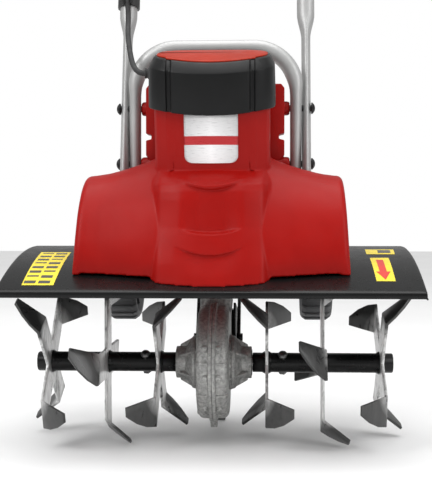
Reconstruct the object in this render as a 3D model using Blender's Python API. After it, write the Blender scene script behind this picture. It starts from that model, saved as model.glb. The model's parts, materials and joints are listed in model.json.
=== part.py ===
"""Electric tiller: six-star tine rotor, worm gearcase, guard, tilted motor head and folding handle.

Lengths in the tables below are millimetres from the centre of the tine axis: x to the right for
someone facing the machine's front, y towards the operator, z up. Meshes are stored in metres.
"""

import math

import bmesh
import bpy
from mathutils import Matrix, Vector

MM = 0.001

# Where the tine axis stands in the world: above the floor, and ahead of the middle of the machine.
AXIS_HEIGHT = 94.577
AXIS_Y = -290.056

# Running gap between touching pieces.
GAP = 0.3

# Tine stars: (x of the plate, angle of the first arm, side to which its hook bends).
STARS = (
    (-194.4, 41.1, -1),
    (-126.7, -0.1, -1),
    (-64.8, 46.9, 1),
    (62.3, 46.5, -1),
    (127.8, 5.6, -1),
    (195.9, 50.0, 1),
)
ARMS = 4
ARM_HALF_WIDTH = 17.0
ARM_BEND_RADIUS = 73.9
ARM_BEND_SKEW = 7.9
HOOK_ANGLE = math.radians(50.8)
HOOK_LENGTH = 38.5
HOOK_OFFSET = 12.1
HOOK_TIP_HALF = 5.9
TINE_THICKNESS = 3.4
TINE_TUBE_RADIUS = 11.5
TINE_TUBE_START = 45.5
TINE_TUBE_END = 210.0
TINE_BORE_RADIUS = 9.6
COLLAR_RADIUS = 17.0
COLLAR_WIDTH = 7.0
TINE_BOLT_X = 81.0
TINE_BOLT_HOLE = 3.3
TINE_BOLT_AXIS = (0, -0.6, 0.8)

# Shaft and worm drive. The motor head leans forward, so the worm and motor share a tilted frame.
SHAFT_RADIUS = 9.3
TILT = math.radians(14.0)
WHEEL_TEETH = 30
WHEEL_PITCH_RADIUS = 51.5
WHEEL_HALF_WIDTH = 7.0
WORM_STARTS = 2
WORM_PITCH_RADIUS = 12.5
WORM_OFFSET = WHEEL_PITCH_RADIUS + WORM_PITCH_RADIUS
AXIAL_PITCH = 2 * math.pi * WHEEL_PITCH_RADIUS / WHEEL_TEETH
WORM_LEAD = AXIAL_PITCH * WORM_STARTS
GEAR_TEETH = 24
PINION_TEETH = 8
GEAR_MODULE = 1.35
MOTOR_OFFSET = WORM_OFFSET - GEAR_MODULE * (GEAR_TEETH + PINION_TEETH) / 2

# Gearcase.
CASE_HALF_WIDTH = 20.6
CASE_RADIUS = 66.0
CASE_RIB = 4.3
CASE_RIB_HEIGHT = 4.0
COLUMN_HALF = 22.0
COLUMN_TOP = 134.0
CHAMBER_RADIUS = 57.5
CHAMBER_HALF_WIDTH = 12.0
WORM_CHANNEL_RADIUS = 16.6
BOSS_END = 44.5
COLLAR_REACH = CASE_HALF_WIDTH + 2.2

# Guard: a parabola in side view, falling forward from its crest.
GUARD_HALF_WIDTH = 232.0
GUARD_CREST_Y = 85.0
GUARD_CREST_Z = 136.0
GUARD_FALL = 2 * 478.0
GUARD_FRONT_Y = -122.0
GUARD_LIP_Z = 84.4
GUARD_REAR_Y = 91.0
GUARD_REAR_FALL = 5.0
GUARD_THICKNESS = 2.0

# Housing.
WALL = 3.0
NECK_FRONT = 51.0
HOLLOW_DROP = 8.0
WING_FLARE = 0.05
SPLIT_Y = 16.0
EAR_HALF_WIDTH = 83.0
CAP_TOP = 356.0
LEG_X = 96.8
LOOP_Y = 27.0
LOOP_TOP = 375.0
LOOP_RADIUS = 50.0
LOWER_TUBE_X = 109.6
TUBE_RADIUS = 10.75
BOLT_SPOTS = ((27.0, 236.0), (31.5, 303.0))
HOLE_RADIUS = 4.3
BOLT_RADIUS = 4.0
BOSS_RADIUS = 8.5

# Handle line in side view, and the fold joint on it.
LEAN = math.radians(11.8)
UPPER_LEAN = math.radians(48.0)
TUBE_FOOT = (22.0, 222.0)
BEND_CORNER = (79.1, 495.0)
FOLD_DISTANCE = 285.0
UPPER_TUBE_X = 99.2
GRIP_X = 160.0
CROSSBAR = 240.0

# Transport wheels on a swinging carrier, and the drag spur.
CARRIER_PIVOT = (106.0, 18.0)
WHEEL_CENTRE = (156.0, 98.0)
WHEEL_X = 126.6
WHEEL_RADIUS = 62.0
WHEEL_HALF = 20.0
SPUR_Y = 135.0

# Motor lead: its radius, and the height and depth at which it leaves the cap's side.
LEAD_RADIUS = 3.2
CLIP_HEIGHT = 442.0
CLIP_HALF = 11.0
LEAD_EXIT = (0.0, -25.0, 338.0)

# Where the lead's two stretches meet, on the fold pivot's axis.
LEAD_MEET = -46.0

ROUND = 20
TUBE_ROUND = 14
SMALL_ROUND = 10

PAINTS = {
    "red_plastic": ((0.42, 0.012, 0.008), 0.35, 0.0),
    "black_plastic": ((0.012, 0.012, 0.013), 0.4, 0.0),
    "black_rubber": ((0.02, 0.02, 0.02), 0.85, 0.0),
    "black_sheet": ((0.015, 0.015, 0.016), 0.25, 0.3),
    "cast_aluminium": ((0.33, 0.33, 0.31), 0.55, 0.9),
    "silver_tube": ((0.52, 0.53, 0.54), 0.35, 0.6),
    "tine_steel": ((0.12, 0.12, 0.12), 0.35, 0.8),
    "bright_steel": ((0.6, 0.6, 0.6), 0.25, 1.0),
    "black_bolt": ((0.02, 0.02, 0.02), 0.35, 0.6),
    "bronze": ((0.6, 0.42, 0.15), 0.3, 1.0),
    "copper_winding": ((0.55, 0.25, 0.12), 0.4, 0.9),
    "label_film": ((0.75, 0.75, 0.76), 0.3, 0.1),
    "grey_wheel": ((0.06, 0.06, 0.065), 0.7, 0.0),
}


# ---------------------------------------------------------------- frames and small helpers


def world(x, y, z):
    """A point given from the tine axis, in world metres."""
    return Vector((x, y + AXIS_Y, z + AXIS_HEIGHT)) * MM


def tilted(x, n, s):
    """A point in the motor's frame (n backwards, s up along the motor), from the tine axis in mm."""
    return (x, n * math.cos(TILT) - s * math.sin(TILT), n * math.sin(TILT) + s * math.cos(TILT))


def fold_point(distance, lift=0.0):
    """Side-view point on the upper handle's line, at a distance beyond the fold pivot."""
    along = FOLD_DISTANCE + distance
    y = BEND_CORNER[0] + along * math.sin(UPPER_LEAN) - lift * math.cos(UPPER_LEAN)
    z = BEND_CORNER[1] + along * math.cos(UPPER_LEAN) + lift * math.sin(UPPER_LEAN)
    return y, z


FOLD = fold_point(0.0)


def material(name):
    """The Principled material of one paint, made once."""
    found = bpy.data.materials.get(name)
    if found:
        return found
    colour, roughness, metallic = PAINTS[name]
    made = bpy.data.materials.new(name)
    made.use_nodes = True
    shader = made.node_tree.nodes["Principled BSDF"]
    shader.inputs["Base Color"].default_value = (*colour, 1.0)
    shader.inputs["Roughness"].default_value = roughness
    shader.inputs["Metallic"].default_value = metallic
    return made


def add_mesh(name, bm, paint, smooth=False):
    """Link a finished bmesh, whose points are world metres, as an object."""
    bmesh.ops.remove_doubles(bm, verts=bm.verts, dist=1e-6)
    bmesh.ops.recalc_face_normals(bm, faces=bm.faces)
    mesh = bpy.data.meshes.new(name)
    bm.to_mesh(mesh)
    bm.free()
    for face in mesh.polygons:
        face.use_smooth = smooth
    made = bpy.data.objects.new(name, mesh)
    bpy.context.scene.collection.objects.link(made)
    mesh.materials.append(material(paint))
    return made


def set_origin(obj, x, y, z):
    """Put an object's origin on its joint's axis without moving its shape."""
    pivot = world(x, y, z)
    obj.data.transform(Matrix.Translation(-pivot))
    obj.location = pivot


def loft(bm, rings, closed_ends=True):
    """Skin equal-length rings of points (mm from the tine axis) into a closed body."""
    rows = [[bm.verts.new(world(*point)) for point in ring] for ring in rings]
    count = len(rings[0])
    for low, high in zip(rows, rows[1:]):
        for i in range(count):
            j = (i + 1) % count
            bm.faces.new((low[i], low[j], high[j], high[i]))
    if closed_ends:
        bm.faces.new(rows[0])
        bm.faces.new(rows[-1])
    return rows


def ring_body(bm, rings):
    """Skin rings into a body that closes on itself, such as a hollow sleeve."""
    loft(bm, [*rings, rings[0]], closed_ends=False)


def prism(bm, outline, x_low, x_high):
    """Extrude a side-view outline of (y, z) points across the machine."""
    loft(bm, [[(x, y, z) for y, z in outline] for x in (x_low, x_high)])


def box(bm, low, high):
    """An axis-aligned block between two corners."""
    outline = ((low[1], low[2]), (high[1], low[2]), (high[1], high[2]), (low[1], high[2]))
    prism(bm, outline, low[0], high[0])


def circle(radius, count=ROUND, turn=0.0):
    """Points of a circle in its own plane."""
    steps = [turn + 2 * math.pi * i / count for i in range(count)]
    return [(radius * math.cos(a), radius * math.sin(a)) for a in steps]


def lathe(bm, profile, centre, direction, count=ROUND):
    """Turn a profile of (distance along, radius) points about an axis; it may touch the axis."""
    axis = Vector(direction).normalized()
    side = axis.orthogonal().normalized() if abs(axis.x) < 0.99 else Vector((0, 0, 1))
    other = axis.cross(side)
    centre = Vector(centre)
    hollow = all(radius > 0 for _, radius in profile)
    rings = []
    for along, radius in profile:
        points = circle(radius, count) if radius > 0 else [(0.0, 0.0)] * count
        rings.append([centre + axis * along + side * u + other * v for u, v in points])
    if hollow:
        ring_body(bm, rings)
    else:
        loft(bm, rings, closed_ends=False)
        bmesh.ops.remove_doubles(bm, verts=bm.verts, dist=1e-6)
        bmesh.ops.dissolve_degenerate(bm, edges=bm.edges, dist=1e-7)


def turned(name, profile, centre, direction, paint, count=ROUND):
    """One lathe-turned object."""
    bm = bmesh.new()
    lathe(bm, profile, centre, direction, count)
    return add_mesh(name, bm, paint, smooth=True)


def rod_profile(start, end, radius, chamfer=0.0):
    """Profile of a solid rod along its axis."""
    return [
        (start, 0.0),
        (start, radius - chamfer),
        (start + chamfer, radius),
        (end - chamfer, radius),
        (end, radius - chamfer),
        (end, 0.0),
    ] if chamfer else [(start, 0.0), (start, radius), (end, radius), (end, 0.0)]


def sleeve_profile(start, end, inner, outer):
    """Profile of a plain ring or sleeve."""
    return [(start, inner), (start, outer), (end, outer), (end, inner)]


def bake(obj):
    """Apply an object's modifiers to its mesh."""
    graph = bpy.context.evaluated_depsgraph_get()
    graph.update()
    evaluated = obj.evaluated_get(graph)
    mesh = bpy.data.meshes.new_from_object(evaluated)
    obj.modifiers.clear()
    old = obj.data
    obj.data = mesh
    bpy.data.meshes.remove(old)


def combine(target, others, operation):
    """Join other bodies to a target, or cut them from it, with exact Booleans."""
    for other in others:
        step = target.modifiers.new(operation.lower(), "BOOLEAN")
        step.operation = operation
        step.object = other
        step.solver = "EXACT"
        bake(target)
        bpy.data.objects.remove(other)
    return target


def cutter_rod(x_low, x_high, y, z, radius, count=SMALL_ROUND):
    """A rod across the machine, used to cut a hole."""
    bm = bmesh.new()
    lathe(bm, rod_profile(x_low, x_high, radius), (0, y, z), (1, 0, 0), count)
    return add_mesh("cutter", bm, "bright_steel")


def cutter_box(low, high):
    """A block used to cut an opening."""
    bm = bmesh.new()
    box(bm, low, high)
    return add_mesh("cutter", bm, "bright_steel")


def path_frames(points):
    """Tangent, sideways and upward directions along a path of points."""
    spots = [Vector(p) for p in points]
    frames = []
    side = None
    for i, spot in enumerate(spots):
        ahead = spots[min(i + 1, len(spots) - 1)]
        behind = spots[max(i - 1, 0)]
        tangent = (ahead - behind).normalized()
        if side is None:
            reference = Vector((1, 0, 0)) if abs(tangent.x) < 0.9 else Vector((0, 1, 0))
            side = reference
        side = (side - tangent * side.dot(tangent)).normalized()
        frames.append((spot, side, tangent.cross(side)))
    return frames


def swept(name, points, widths, heights, paint, count=TUBE_ROUND):
    """A rod swept along a path, with half sizes given along it (oval where they differ)."""
    bm = bmesh.new()
    rings = []
    for (spot, side, up), wide, high in zip(path_frames(points), widths, heights):
        rings.append([spot + side * wide * u + up * high * v for u, v in circle(1.0, count)])
    loft(bm, rings)
    return add_mesh(name, bm, paint, smooth=True)


def rounded_path(corners, radii, steps=6):
    """A polyline with its inner corners turned into arcs."""
    spots = [Vector(c) for c in corners]
    path = [spots[0]]
    for before, corner, after, radius in zip(spots, spots[1:], spots[2:], radii):
        inward = (before - corner).normalized()
        outward = (after - corner).normalized()
        half = inward.angle(outward) / 2
        reach = radius / math.tan(half)
        centre = corner + (inward + outward).normalized() * radius / math.sin(half)
        first = corner + inward * reach - centre
        last = corner + outward * reach - centre
        for i in range(steps + 1):
            path.append(centre + first.slerp(last, i / steps).normalized() * radius)
    path.append(spots[-1])
    return path


# ---------------------------------------------------------------- tine rotor


def arm_directions(angle):
    """Outward and leading-to-trailing directions of an arm, in the star's plane."""
    outward = Vector((0, -math.cos(angle), math.sin(angle)))
    trailing = Vector((0, math.sin(angle), math.cos(angle)))
    return outward, trailing


def hook_rows(root, outward, trailing, bend_side):
    """Rows of (leading, trailing) points from the bend line to the hook's tip."""
    line = trailing * ARM_HALF_WIDTH - outward * ARM_BEND_SKEW
    across = line.normalized()
    plate = (outward * ARM_HALF_WIDTH + trailing * ARM_BEND_SKEW).normalized()
    along = plate * math.cos(HOOK_ANGLE) + Vector((bend_side * math.sin(HOOK_ANGLE), 0, 0))
    tip = root + along * HOOK_LENGTH + across * HOOK_OFFSET
    lead_root, trail_root = root - line, root + line
    lead_tip, trail_tip = tip - across * HOOK_TIP_HALF, tip + across * HOOK_TIP_HALF
    rows = []
    for share in (0.33, 0.66):
        bulge = 4.5 * math.sin(math.pi * share)
        lead = lead_root.lerp(lead_tip, share) - across * bulge
        rows.append((lead, trail_root.lerp(trail_tip, share)))
    return [(lead_root, trail_root), *rows, (lead_tip, trail_tip)]


def tine_star(name, x, first_angle, bend_side):
    """A four-armed star cut from plate, with each arm's end bent sideways into a hook."""
    bm = bmesh.new()
    bore, rim, hooks = [], [], []
    centre = Vector((x, 0, 0))
    for k in range(ARMS):
        angle = math.radians(first_angle) + k * math.pi / 2
        outward, trailing = arm_directions(angle)
        rows = hook_rows(
            centre + outward * ARM_BEND_RADIUS, outward, trailing, bend_side * (-1) ** k
        )
        lead, trail = rows[0]
        for turn in (-27, -9, 9, 27, 45):
            spoke, _ = arm_directions(angle + math.radians(turn))
            bore.append(centre + spoke * (TINE_TUBE_RADIUS + GAP))
        base_lead = centre + outward * 27 - trailing * ARM_HALF_WIDTH
        base_trail = centre + outward * 27 + trailing * ARM_HALF_WIDTH
        crotch, _ = arm_directions(angle + math.radians(45))
        rim.extend((base_lead, lead, trail, base_trail, centre + crotch * 25))
        hooks.append(rows)
    inner = [bm.verts.new(world(*p)) for p in bore]
    outer = [bm.verts.new(world(*p)) for p in rim]
    count = len(inner)
    for i in range(count):
        j = (i + 1) % count
        bm.faces.new((inner[i], inner[j], outer[j], outer[i]))
    for k, rows in enumerate(hooks):
        low = (outer[5 * k + 1], outer[5 * k + 2])
        for lead, trail in rows[1:]:
            high = (bm.verts.new(world(*lead)), bm.verts.new(world(*trail)))
            bm.faces.new((low[0], low[1], high[1], high[0]))
            low = high
    star = add_mesh(name, bm, "tine_steel")
    plate = star.modifiers.new("plate", "SOLIDIFY")
    plate.thickness = TINE_THICKNESS * MM
    plate.offset = 0.0
    plate.use_even_offset = True
    bake(star)
    set_origin(star, 0, 0, 0)
    return star


def tine_tube(name, side):
    """One side's drive tube with the weld collars that hold its stars."""
    profile = [(TINE_TUBE_START, TINE_BORE_RADIUS), (TINE_TUBE_START, TINE_TUBE_RADIUS)]
    half = TINE_THICKNESS / 2 + GAP
    for x in sorted(abs(x) for x, _, _ in STARS if x * side > 0):
        start = x + half if x < 150 else x - half - COLLAR_WIDTH
        ring = [
            (start, TINE_TUBE_RADIUS),
            (start, COLLAR_RADIUS),
            (start + COLLAR_WIDTH, COLLAR_RADIUS),
            (start + COLLAR_WIDTH, TINE_TUBE_RADIUS),
        ]
        profile.extend(ring)
    profile.extend(
        [
            (TINE_TUBE_END - 1.5, TINE_TUBE_RADIUS),
            (TINE_TUBE_END, TINE_TUBE_RADIUS - 1.5),
            (TINE_TUBE_END, 0.0),
            (102.0, 0.0),
            (102.0, TINE_BORE_RADIUS),
        ]
    )
    bm = bmesh.new()
    lathe_closed(bm, profile, (0, 0, 0), (side, 0, 0), 16)
    tube = add_mesh(name, bm, "black_sheet", smooth=True)
    hole = bmesh.new()
    centre = (side * TINE_BOLT_X, 0, 0)
    lathe(hole, rod_profile(-20, 20, TINE_BOLT_HOLE), centre, TINE_BOLT_AXIS, SMALL_ROUND)
    combine(tube, [add_mesh("cutter", hole, "bright_steel")], "DIFFERENCE")
    set_origin(tube, 0, 0, 0)
    return tube


def lathe_closed(bm, profile, centre, direction, count=ROUND):
    """Turn a closed profile loop of which some points lie on the axis."""
    lathe(bm, [*profile, profile[0]], centre, direction, count)


def tine_bolt(name, side):
    """The cross bolt that pins a drive tube to the output shaft."""
    face = TINE_TUBE_RADIUS + GAP
    profile = [
        (face + 4.0, 0.0),
        (face + 4.0, 5.0),
        (face, 5.6),
        (face, 3.0),
        (-face, 3.0),
        (-face, 5.4),
        (-face - 4.0, 5.4),
        (-face - 4.0, 0.0),
    ]
    centre = (side * TINE_BOLT_X, 0, 0)
    bolt = turned(name, profile, centre, TINE_BOLT_AXIS, "black_bolt", SMALL_ROUND)
    set_origin(bolt, 0, 0, 0)


def output_shaft():
    """The shaft through the gearcase, drilled for the tine bolts."""
    shaft = turned(
        "output_shaft", rod_profile(-99, 99, SHAFT_RADIUS, 1.0), (0, 0, 0), (1, 0, 0), "bright_steel"
    )
    for side in (-1, 1):
        hole = bmesh.new()
        centre = (side * TINE_BOLT_X, 0, 0)
        lathe(hole, rod_profile(-20, 20, TINE_BOLT_HOLE), centre, TINE_BOLT_AXIS, SMALL_ROUND)
        combine(shaft, [add_mesh("cutter", hole, "bright_steel")], "DIFFERENCE")
    set_origin(shaft, 0, 0, 0)


def gear_ring(teeth, root, tip, root_share, tip_share, phase):
    """Outline of a straight-flanked gear as (angle, radius) pairs."""
    pitch = 2 * math.pi / teeth
    outline = []
    for k in range(teeth):
        middle = phase + k * pitch
        outline.append((middle - pitch * root_share / 2, root))
        outline.append((middle - pitch * tip_share / 2, tip))
        outline.append((middle + pitch * tip_share / 2, tip))
        outline.append((middle + pitch * root_share / 2, root))
    return outline


def worm_wheel():
    """Bronze wheel whose helical teeth follow the worm's lead angle."""
    bm = bmesh.new()
    slant = WORM_LEAD / (2 * math.pi * WORM_PITCH_RADIUS)
    rows = []
    # A tooth space faces the worm at rest: the worm's thread sits at the middle of its length.
    space = TILT + math.pi / WHEEL_TEETH
    for x in (-WHEEL_HALF_WIDTH, WHEEL_HALF_WIDTH):
        twist = x * slant / WHEEL_PITCH_RADIUS
        outline = gear_ring(
            WHEEL_TEETH, WHEEL_PITCH_RADIUS - 3.6, WHEEL_PITCH_RADIUS + 2.4, 0.5, 0.24, space + twist
        )
        rows.append([(x, r * math.cos(a), r * math.sin(a)) for a, r in outline])
    inner = []
    bore = SHAFT_RADIUS + 0.1
    for x in (WHEEL_HALF_WIDTH, -WHEEL_HALF_WIDTH):
        row = []
        for _, y, z in rows[0]:
            angle = math.atan2(z, y)
            row.append((x, bore * math.cos(angle), bore * math.sin(angle)))
        inner.append(row)
    ring_body(bm, [*rows, *inner])
    wheel = add_mesh("worm_wheel", bm, "bronze")
    set_origin(wheel, 0, 0, 0)


# ---------------------------------------------------------------- worm shaft and motor


def worm_shaft():
    """Steel worm and its shaft, from the lower bearing to the first-stage gear."""
    up = Vector(tilted(0, 0, 1))
    back = Vector(tilted(0, 1, 0))
    foot = Vector(tilted(0, WORM_OFFSET, 0))
    across = Vector((1, 0, 0))
    bm = bmesh.new()
    steps = 14
    turns = 1.5
    crest = AXIAL_PITCH * 0.12
    flank = AXIAL_PITCH * 0.23
    root = WORM_PITCH_RADIUS - 3.2
    tip = WORM_PITCH_RADIUS + 2.6
    for start in range(WORM_STARTS):
        rings = []
        for i in range(int(turns * steps) + 1):
            turn = i / steps - turns / 2
            angle = 2 * math.pi * turn + start * math.pi
            radial = -back * math.cos(angle) + across * math.sin(angle)
            height = turn * WORM_LEAD
            rings.append(
                [
                    foot + radial * radius + up * (height + offset)
                    for radius, offset in (
                        (root - 1.5, -flank),
                        (tip, -crest),
                        (tip, crest),
                        (root - 1.5, flank),
                    )
                ]
            )
        loft(bm, rings)
    threads = add_mesh("threads", bm, "bright_steel")
    reach = turns * WORM_LEAD / 2 + 6
    profile = [
        (-42.0, 0.0),
        (-42.0, 6.0),
        (-reach - 4, 6.0),
        (-reach, root),
        (reach, root),
        (reach + 4, 7.0),
        (COLUMN_TOP + 3.5, 7.0),
        (COLUMN_TOP + 3.5, 5.0),
        (COLUMN_TOP + 19.0, 5.0),
        (COLUMN_TOP + 19.0, 0.0),
    ]
    shaft = turned("worm_shaft", profile, foot, up, "bright_steel", 16)
    combine(shaft, [threads], "UNION")
    set_origin(shaft, *foot)


def spur_gear(name, centre, teeth, low, high, bore, phase, paint):
    """A straight spur gear on an axis parallel to the motor's."""
    radius = GEAR_MODULE * teeth / 2
    outline = gear_ring(teeth, radius - 1.1, radius + 0.65, 0.62, 0.22, phase)
    rings = []
    for s in (low, high):
        rings.append([tilted(r * math.sin(a), centre + r * math.cos(a), s) for a, r in outline])
    for s in (high, low):
        rings.append([tilted(bore * math.sin(a), centre + bore * math.cos(a), s) for a, _ in outline])
    bm = bmesh.new()
    ring_body(bm, rings)
    gear = add_mesh(name, bm, paint)
    set_origin(gear, *tilted(0, centre, 0))
    return gear


def along_motor(name, profile, offset, paint, count=ROUND):
    """A turned piece on the motor's or the worm's axis."""
    return turned(name, profile, tilted(0, offset, 0), tilted(0, 0, 1), paint, count)


def motor():
    """Field, armature, fan, brush gear and bearings of the universal motor."""
    field = along_motor("motor_field", sleeve_profile(190, 246, 28.0, 41.0), MOTOR_OFFSET, "copper_winding")
    holders = []
    for side in (-1, 1):
        for low, high, bottom, top in ((14.6, 36.0, 255.0, 266.0), (31.0, 37.0, 240.0, 264.0)):
            reach = 5.0 if low < 20 else 4.0
            corners = ((low, -reach), (high, -reach), (high, reach), (low, reach))
            rings = []
            for s in (bottom, top):
                rings.append([tilted(side * x, MOTOR_OFFSET + n, s) for x, n in corners])
            block = bmesh.new()
            loft(block, rings)
            holders.append(add_mesh("holder", block, "bronze"))
    combine(field, holders, "UNION")
    profile = [
        (160.0, 0.0),
        (160.0, 4.0),
        (188.0, 4.0),
        (188.0, 20.0),
        (192.0, 26.8),
        (244.0, 26.8),
        (248.0, 20.0),
        (252.0, 13.8),
        (269.0, 13.8),
        (269.0, 5.0),
        (288.0, 5.0),
        (288.0, 0.0),
    ]
    armature = along_motor("motor_armature", profile, MOTOR_OFFSET, "copper_winding")
    pinion = spur_gear(
        "pinion", MOTOR_OFFSET, PINION_TEETH, 141.0, 158.0, 2.0, 0.0, "bright_steel"
    )
    core = along_motor("core", rod_profile(140.5, 161.0, 3.4), MOTOR_OFFSET, "bright_steel")
    combine(armature, [pinion, core], "UNION")
    set_origin(armature, *tilted(0, MOTOR_OFFSET, 0))
    blades = bmesh.new()
    for k in range(9):
        turn = 2 * math.pi * k / 9
        corners = []
        for radius, lag in ((13.0, 0.0), (36.0, 0.5), (36.0, 0.62), (13.0, 0.22)):
            corners.append((radius * math.cos(turn + lag), radius * math.sin(turn + lag)))
        loft(blades, [[tilted(x, MOTOR_OFFSET + n, s) for x, n in corners] for s in (176.5, 185.0)])
    vanes = add_mesh("vanes", blades, "black_plastic")
    disc = [(174.0, 4.1), (174.0, 37.0), (177.0, 37.0), (177.0, 14.0), (186.0, 14.0), (186.0, 4.1)]
    fan = along_motor("motor_fan", disc, MOTOR_OFFSET, "black_plastic")
    combine(fan, [vanes], "UNION")
    set_origin(fan, *tilted(0, MOTOR_OFFSET, 0))


def drive_bearings():
    """Ball bearings of the worm shaft and of the armature, as plain rings."""
    for name, offset, low, width, inner, outer in (
        ("worm_bearing", WORM_OFFSET, COLUMN_TOP - 15, 9.0, 7.1, 16.3),
        ("motor_bearing_lower", MOTOR_OFFSET, 163.5, 8.0, 4.1, 10.0),
        ("motor_bearing_upper", MOTOR_OFFSET, 276.0, 8.0, 5.1, 13.0),
    ):
        along_motor(name, sleeve_profile(low, low + width, inner, outer), offset, "bright_steel")


def gear_bracket():
    """Cast bracket between the gearcase and the motor: foot plate, posts and bearing deck."""
    bm = bmesh.new()
    low_n, high_n = MOTOR_OFFSET - 26, WORM_OFFSET + 21

    def slab(low_s, high_s, half):
        corners = ((-half, low_n), (half, low_n), (half, high_n), (-half, high_n))
        loft(bm, [[tilted(x, n, s) for x, n in corners] for s in (low_s, high_s)])

    slab(COLUMN_TOP + GAP, COLUMN_TOP + 5, 30.0)
    foot = add_mesh("gear_bracket", bm, "cast_aluminium")
    bm = bmesh.new()
    slab(COLUMN_TOP + 27, COLUMN_TOP + 38, 30.0)
    deck = add_mesh("deck", bm, "cast_aluminium")
    posts = bmesh.new()
    for x in (-25.0, 25.0):
        for n in (low_n + 5, high_n - 5):
            lathe(
                posts,
                rod_profile(COLUMN_TOP + 3, COLUMN_TOP + 29, 4.5),
                tilted(x, n, 0),
                tilted(0, 0, 1),
                SMALL_ROUND,
            )
    pillars = add_mesh("pillars", posts, "cast_aluminium")
    combine(foot, [deck, pillars], "UNION")
    cuts = (
        (WORM_OFFSET, COLUMN_TOP - 2, COLUMN_TOP + 8, 9.0),
        (MOTOR_OFFSET, COLUMN_TOP + 20, COLUMN_TOP + 45, 10.3),
    )
    for offset, low, high, radius in cuts:
        cut = along_motor("cutter", rod_profile(low, high, radius), offset, "bright_steel")
        combine(foot, [cut], "DIFFERENCE")


# ---------------------------------------------------------------- gearcase


def case_outline(grow, top):
    """Side view of the gearcase: the wheel chamber's circle run into the tilted worm column."""
    outer = COLUMN_HALF + grow
    radius = CASE_RADIUS + grow
    front = WORM_OFFSET - outer
    back = WORM_OFFSET + outer
    start = math.acos(front / radius)
    base = -math.radians(58)
    points = [tilted(0, front, top)[1:], tilted(0, front, radius * math.sin(start))[1:]]
    count = 20
    for i in range(1, count + 1):
        angle = start + (2 * math.pi + base - start) * i / count
        points.append(tilted(0, radius * math.cos(angle), radius * math.sin(angle))[1:])
    points.append(tilted(0, back, -44 - grow)[1:])
    points.append(tilted(0, back, top)[1:])
    return points


def gearcase_half(name, side):
    """One cast half: outer wall, seam rib, wheel chamber and worm channel."""
    bm = bmesh.new()
    prism(bm, case_outline(CASE_RIB_HEIGHT, COLUMN_TOP), side * GAP / 2, side * CASE_RIB)
    case = add_mesh(name, bm, "cast_aluminium")
    bm = bmesh.new()
    prism(bm, case_outline(0.0, COLUMN_TOP - 0.5), side * CASE_RIB / 2, side * CASE_HALF_WIDTH)
    wall = add_mesh("wall", bm, "cast_aluminium")
    collar = tilted_block(side * CASE_RIB / 3, side * COLLAR_REACH, (38, 90), (50, 72))
    combine(case, [wall, collar], "UNION")
    chamber = cutter_rod(-CHAMBER_HALF_WIDTH, CHAMBER_HALF_WIDTH, 0, 0, CHAMBER_RADIUS, 32)
    channel = along_motor(
        "cutter", rod_profile(-46, COLUMN_TOP + 5, WORM_CHANNEL_RADIUS), WORM_OFFSET, "bright_steel", 20
    )
    bore = cutter_rod(side * 5, side * 30, 0, 0, 16.0, ROUND)
    combine(case, [chamber, channel, bore], "DIFFERENCE")
    return case


def tilted_block(x_low, x_high, n_range, s_range):
    """A block in the motor's frame."""
    bm = bmesh.new()
    corners = [(n_range[0], s_range[0]), (n_range[1], s_range[0])]
    corners += [(n_range[1], s_range[1]), (n_range[0], s_range[1])]
    loft(bm, [[tilted(x, n, s) for n, s in corners] for x in (x_low, x_high)])
    return add_mesh("block", bm, "cast_aluminium")


def bearing_cap(name, side):
    """Turned bearing housing bolted on the side of the gearcase."""
    start = CASE_HALF_WIDTH + GAP
    profile = [
        (start, 16.0),
        (start, 32.0),
        (start + 4, 31.0),
        (start + 12, 19.0),
        (BOSS_END, 19.0),
        (BOSS_END, 16.0),
    ]
    return turned(name, profile, (0, 0, 0), (side, 0, 0), "cast_aluminium")


def shaft_bearing(name, side):
    """Ball bearing of the output shaft, as a plain ring."""
    profile = sleeve_profile(22, 34, SHAFT_RADIUS + 0.4, 15.8)
    turned(name, profile, (0, 0, 0), (side, 0, 0), "bright_steel")


# ---------------------------------------------------------------- guard


def guard_z(y):
    """Height of the guard's top surface at a distance from the tine axis."""
    fall = GUARD_FALL if y < GUARD_CREST_Y else GUARD_REAR_FALL
    return GUARD_CREST_Z - (GUARD_CREST_Y - y) ** 2 / fall


def tine_guard():
    """Folded sheet guard with a lip in front and a slot for the gearcase column."""
    steps = [GUARD_FRONT_Y + (GUARD_CREST_Y - GUARD_FRONT_Y) * i / 14 for i in range(15)]
    steps += [GUARD_CREST_Y + (GUARD_REAR_Y - GUARD_CREST_Y) * i / 3 for i in range(1, 4)]
    top = [(GUARD_FRONT_Y, GUARD_LIP_Z)] + [(y, guard_z(y)) for y in steps]
    bm = bmesh.new()
    rows = []
    for x in (-GUARD_HALF_WIDTH, GUARD_HALF_WIDTH):
        rows.append([bm.verts.new(world(x, y, z)) for y, z in top])
    for i in range(len(top) - 1):
        bm.faces.new((rows[0][i], rows[1][i], rows[1][i + 1], rows[0][i + 1]))
    guard = add_mesh("tine_guard", bm, "black_sheet", smooth=True)
    sheet = guard.modifiers.new("sheet", "SOLIDIFY")
    sheet.thickness = GUARD_THICKNESS * MM
    sheet.offset = -1.0
    if guard.data.polygons[5].normal.z < 0:
        sheet.offset = 1.0
    bake(guard)
    slot = cutter_box((-27.5, 0, 60), (27.5, 64, 160))
    combine(guard, [slot], "DIFFERENCE")


# ---------------------------------------------------------------- housing


def seat_z(y, shrink):
    """Lower edge of the housing on the guard, or of its hollow below it."""
    return guard_z(y) + GAP + 0.4 - (HOLLOW_DROP if shrink >= WALL else 0.0)


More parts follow.
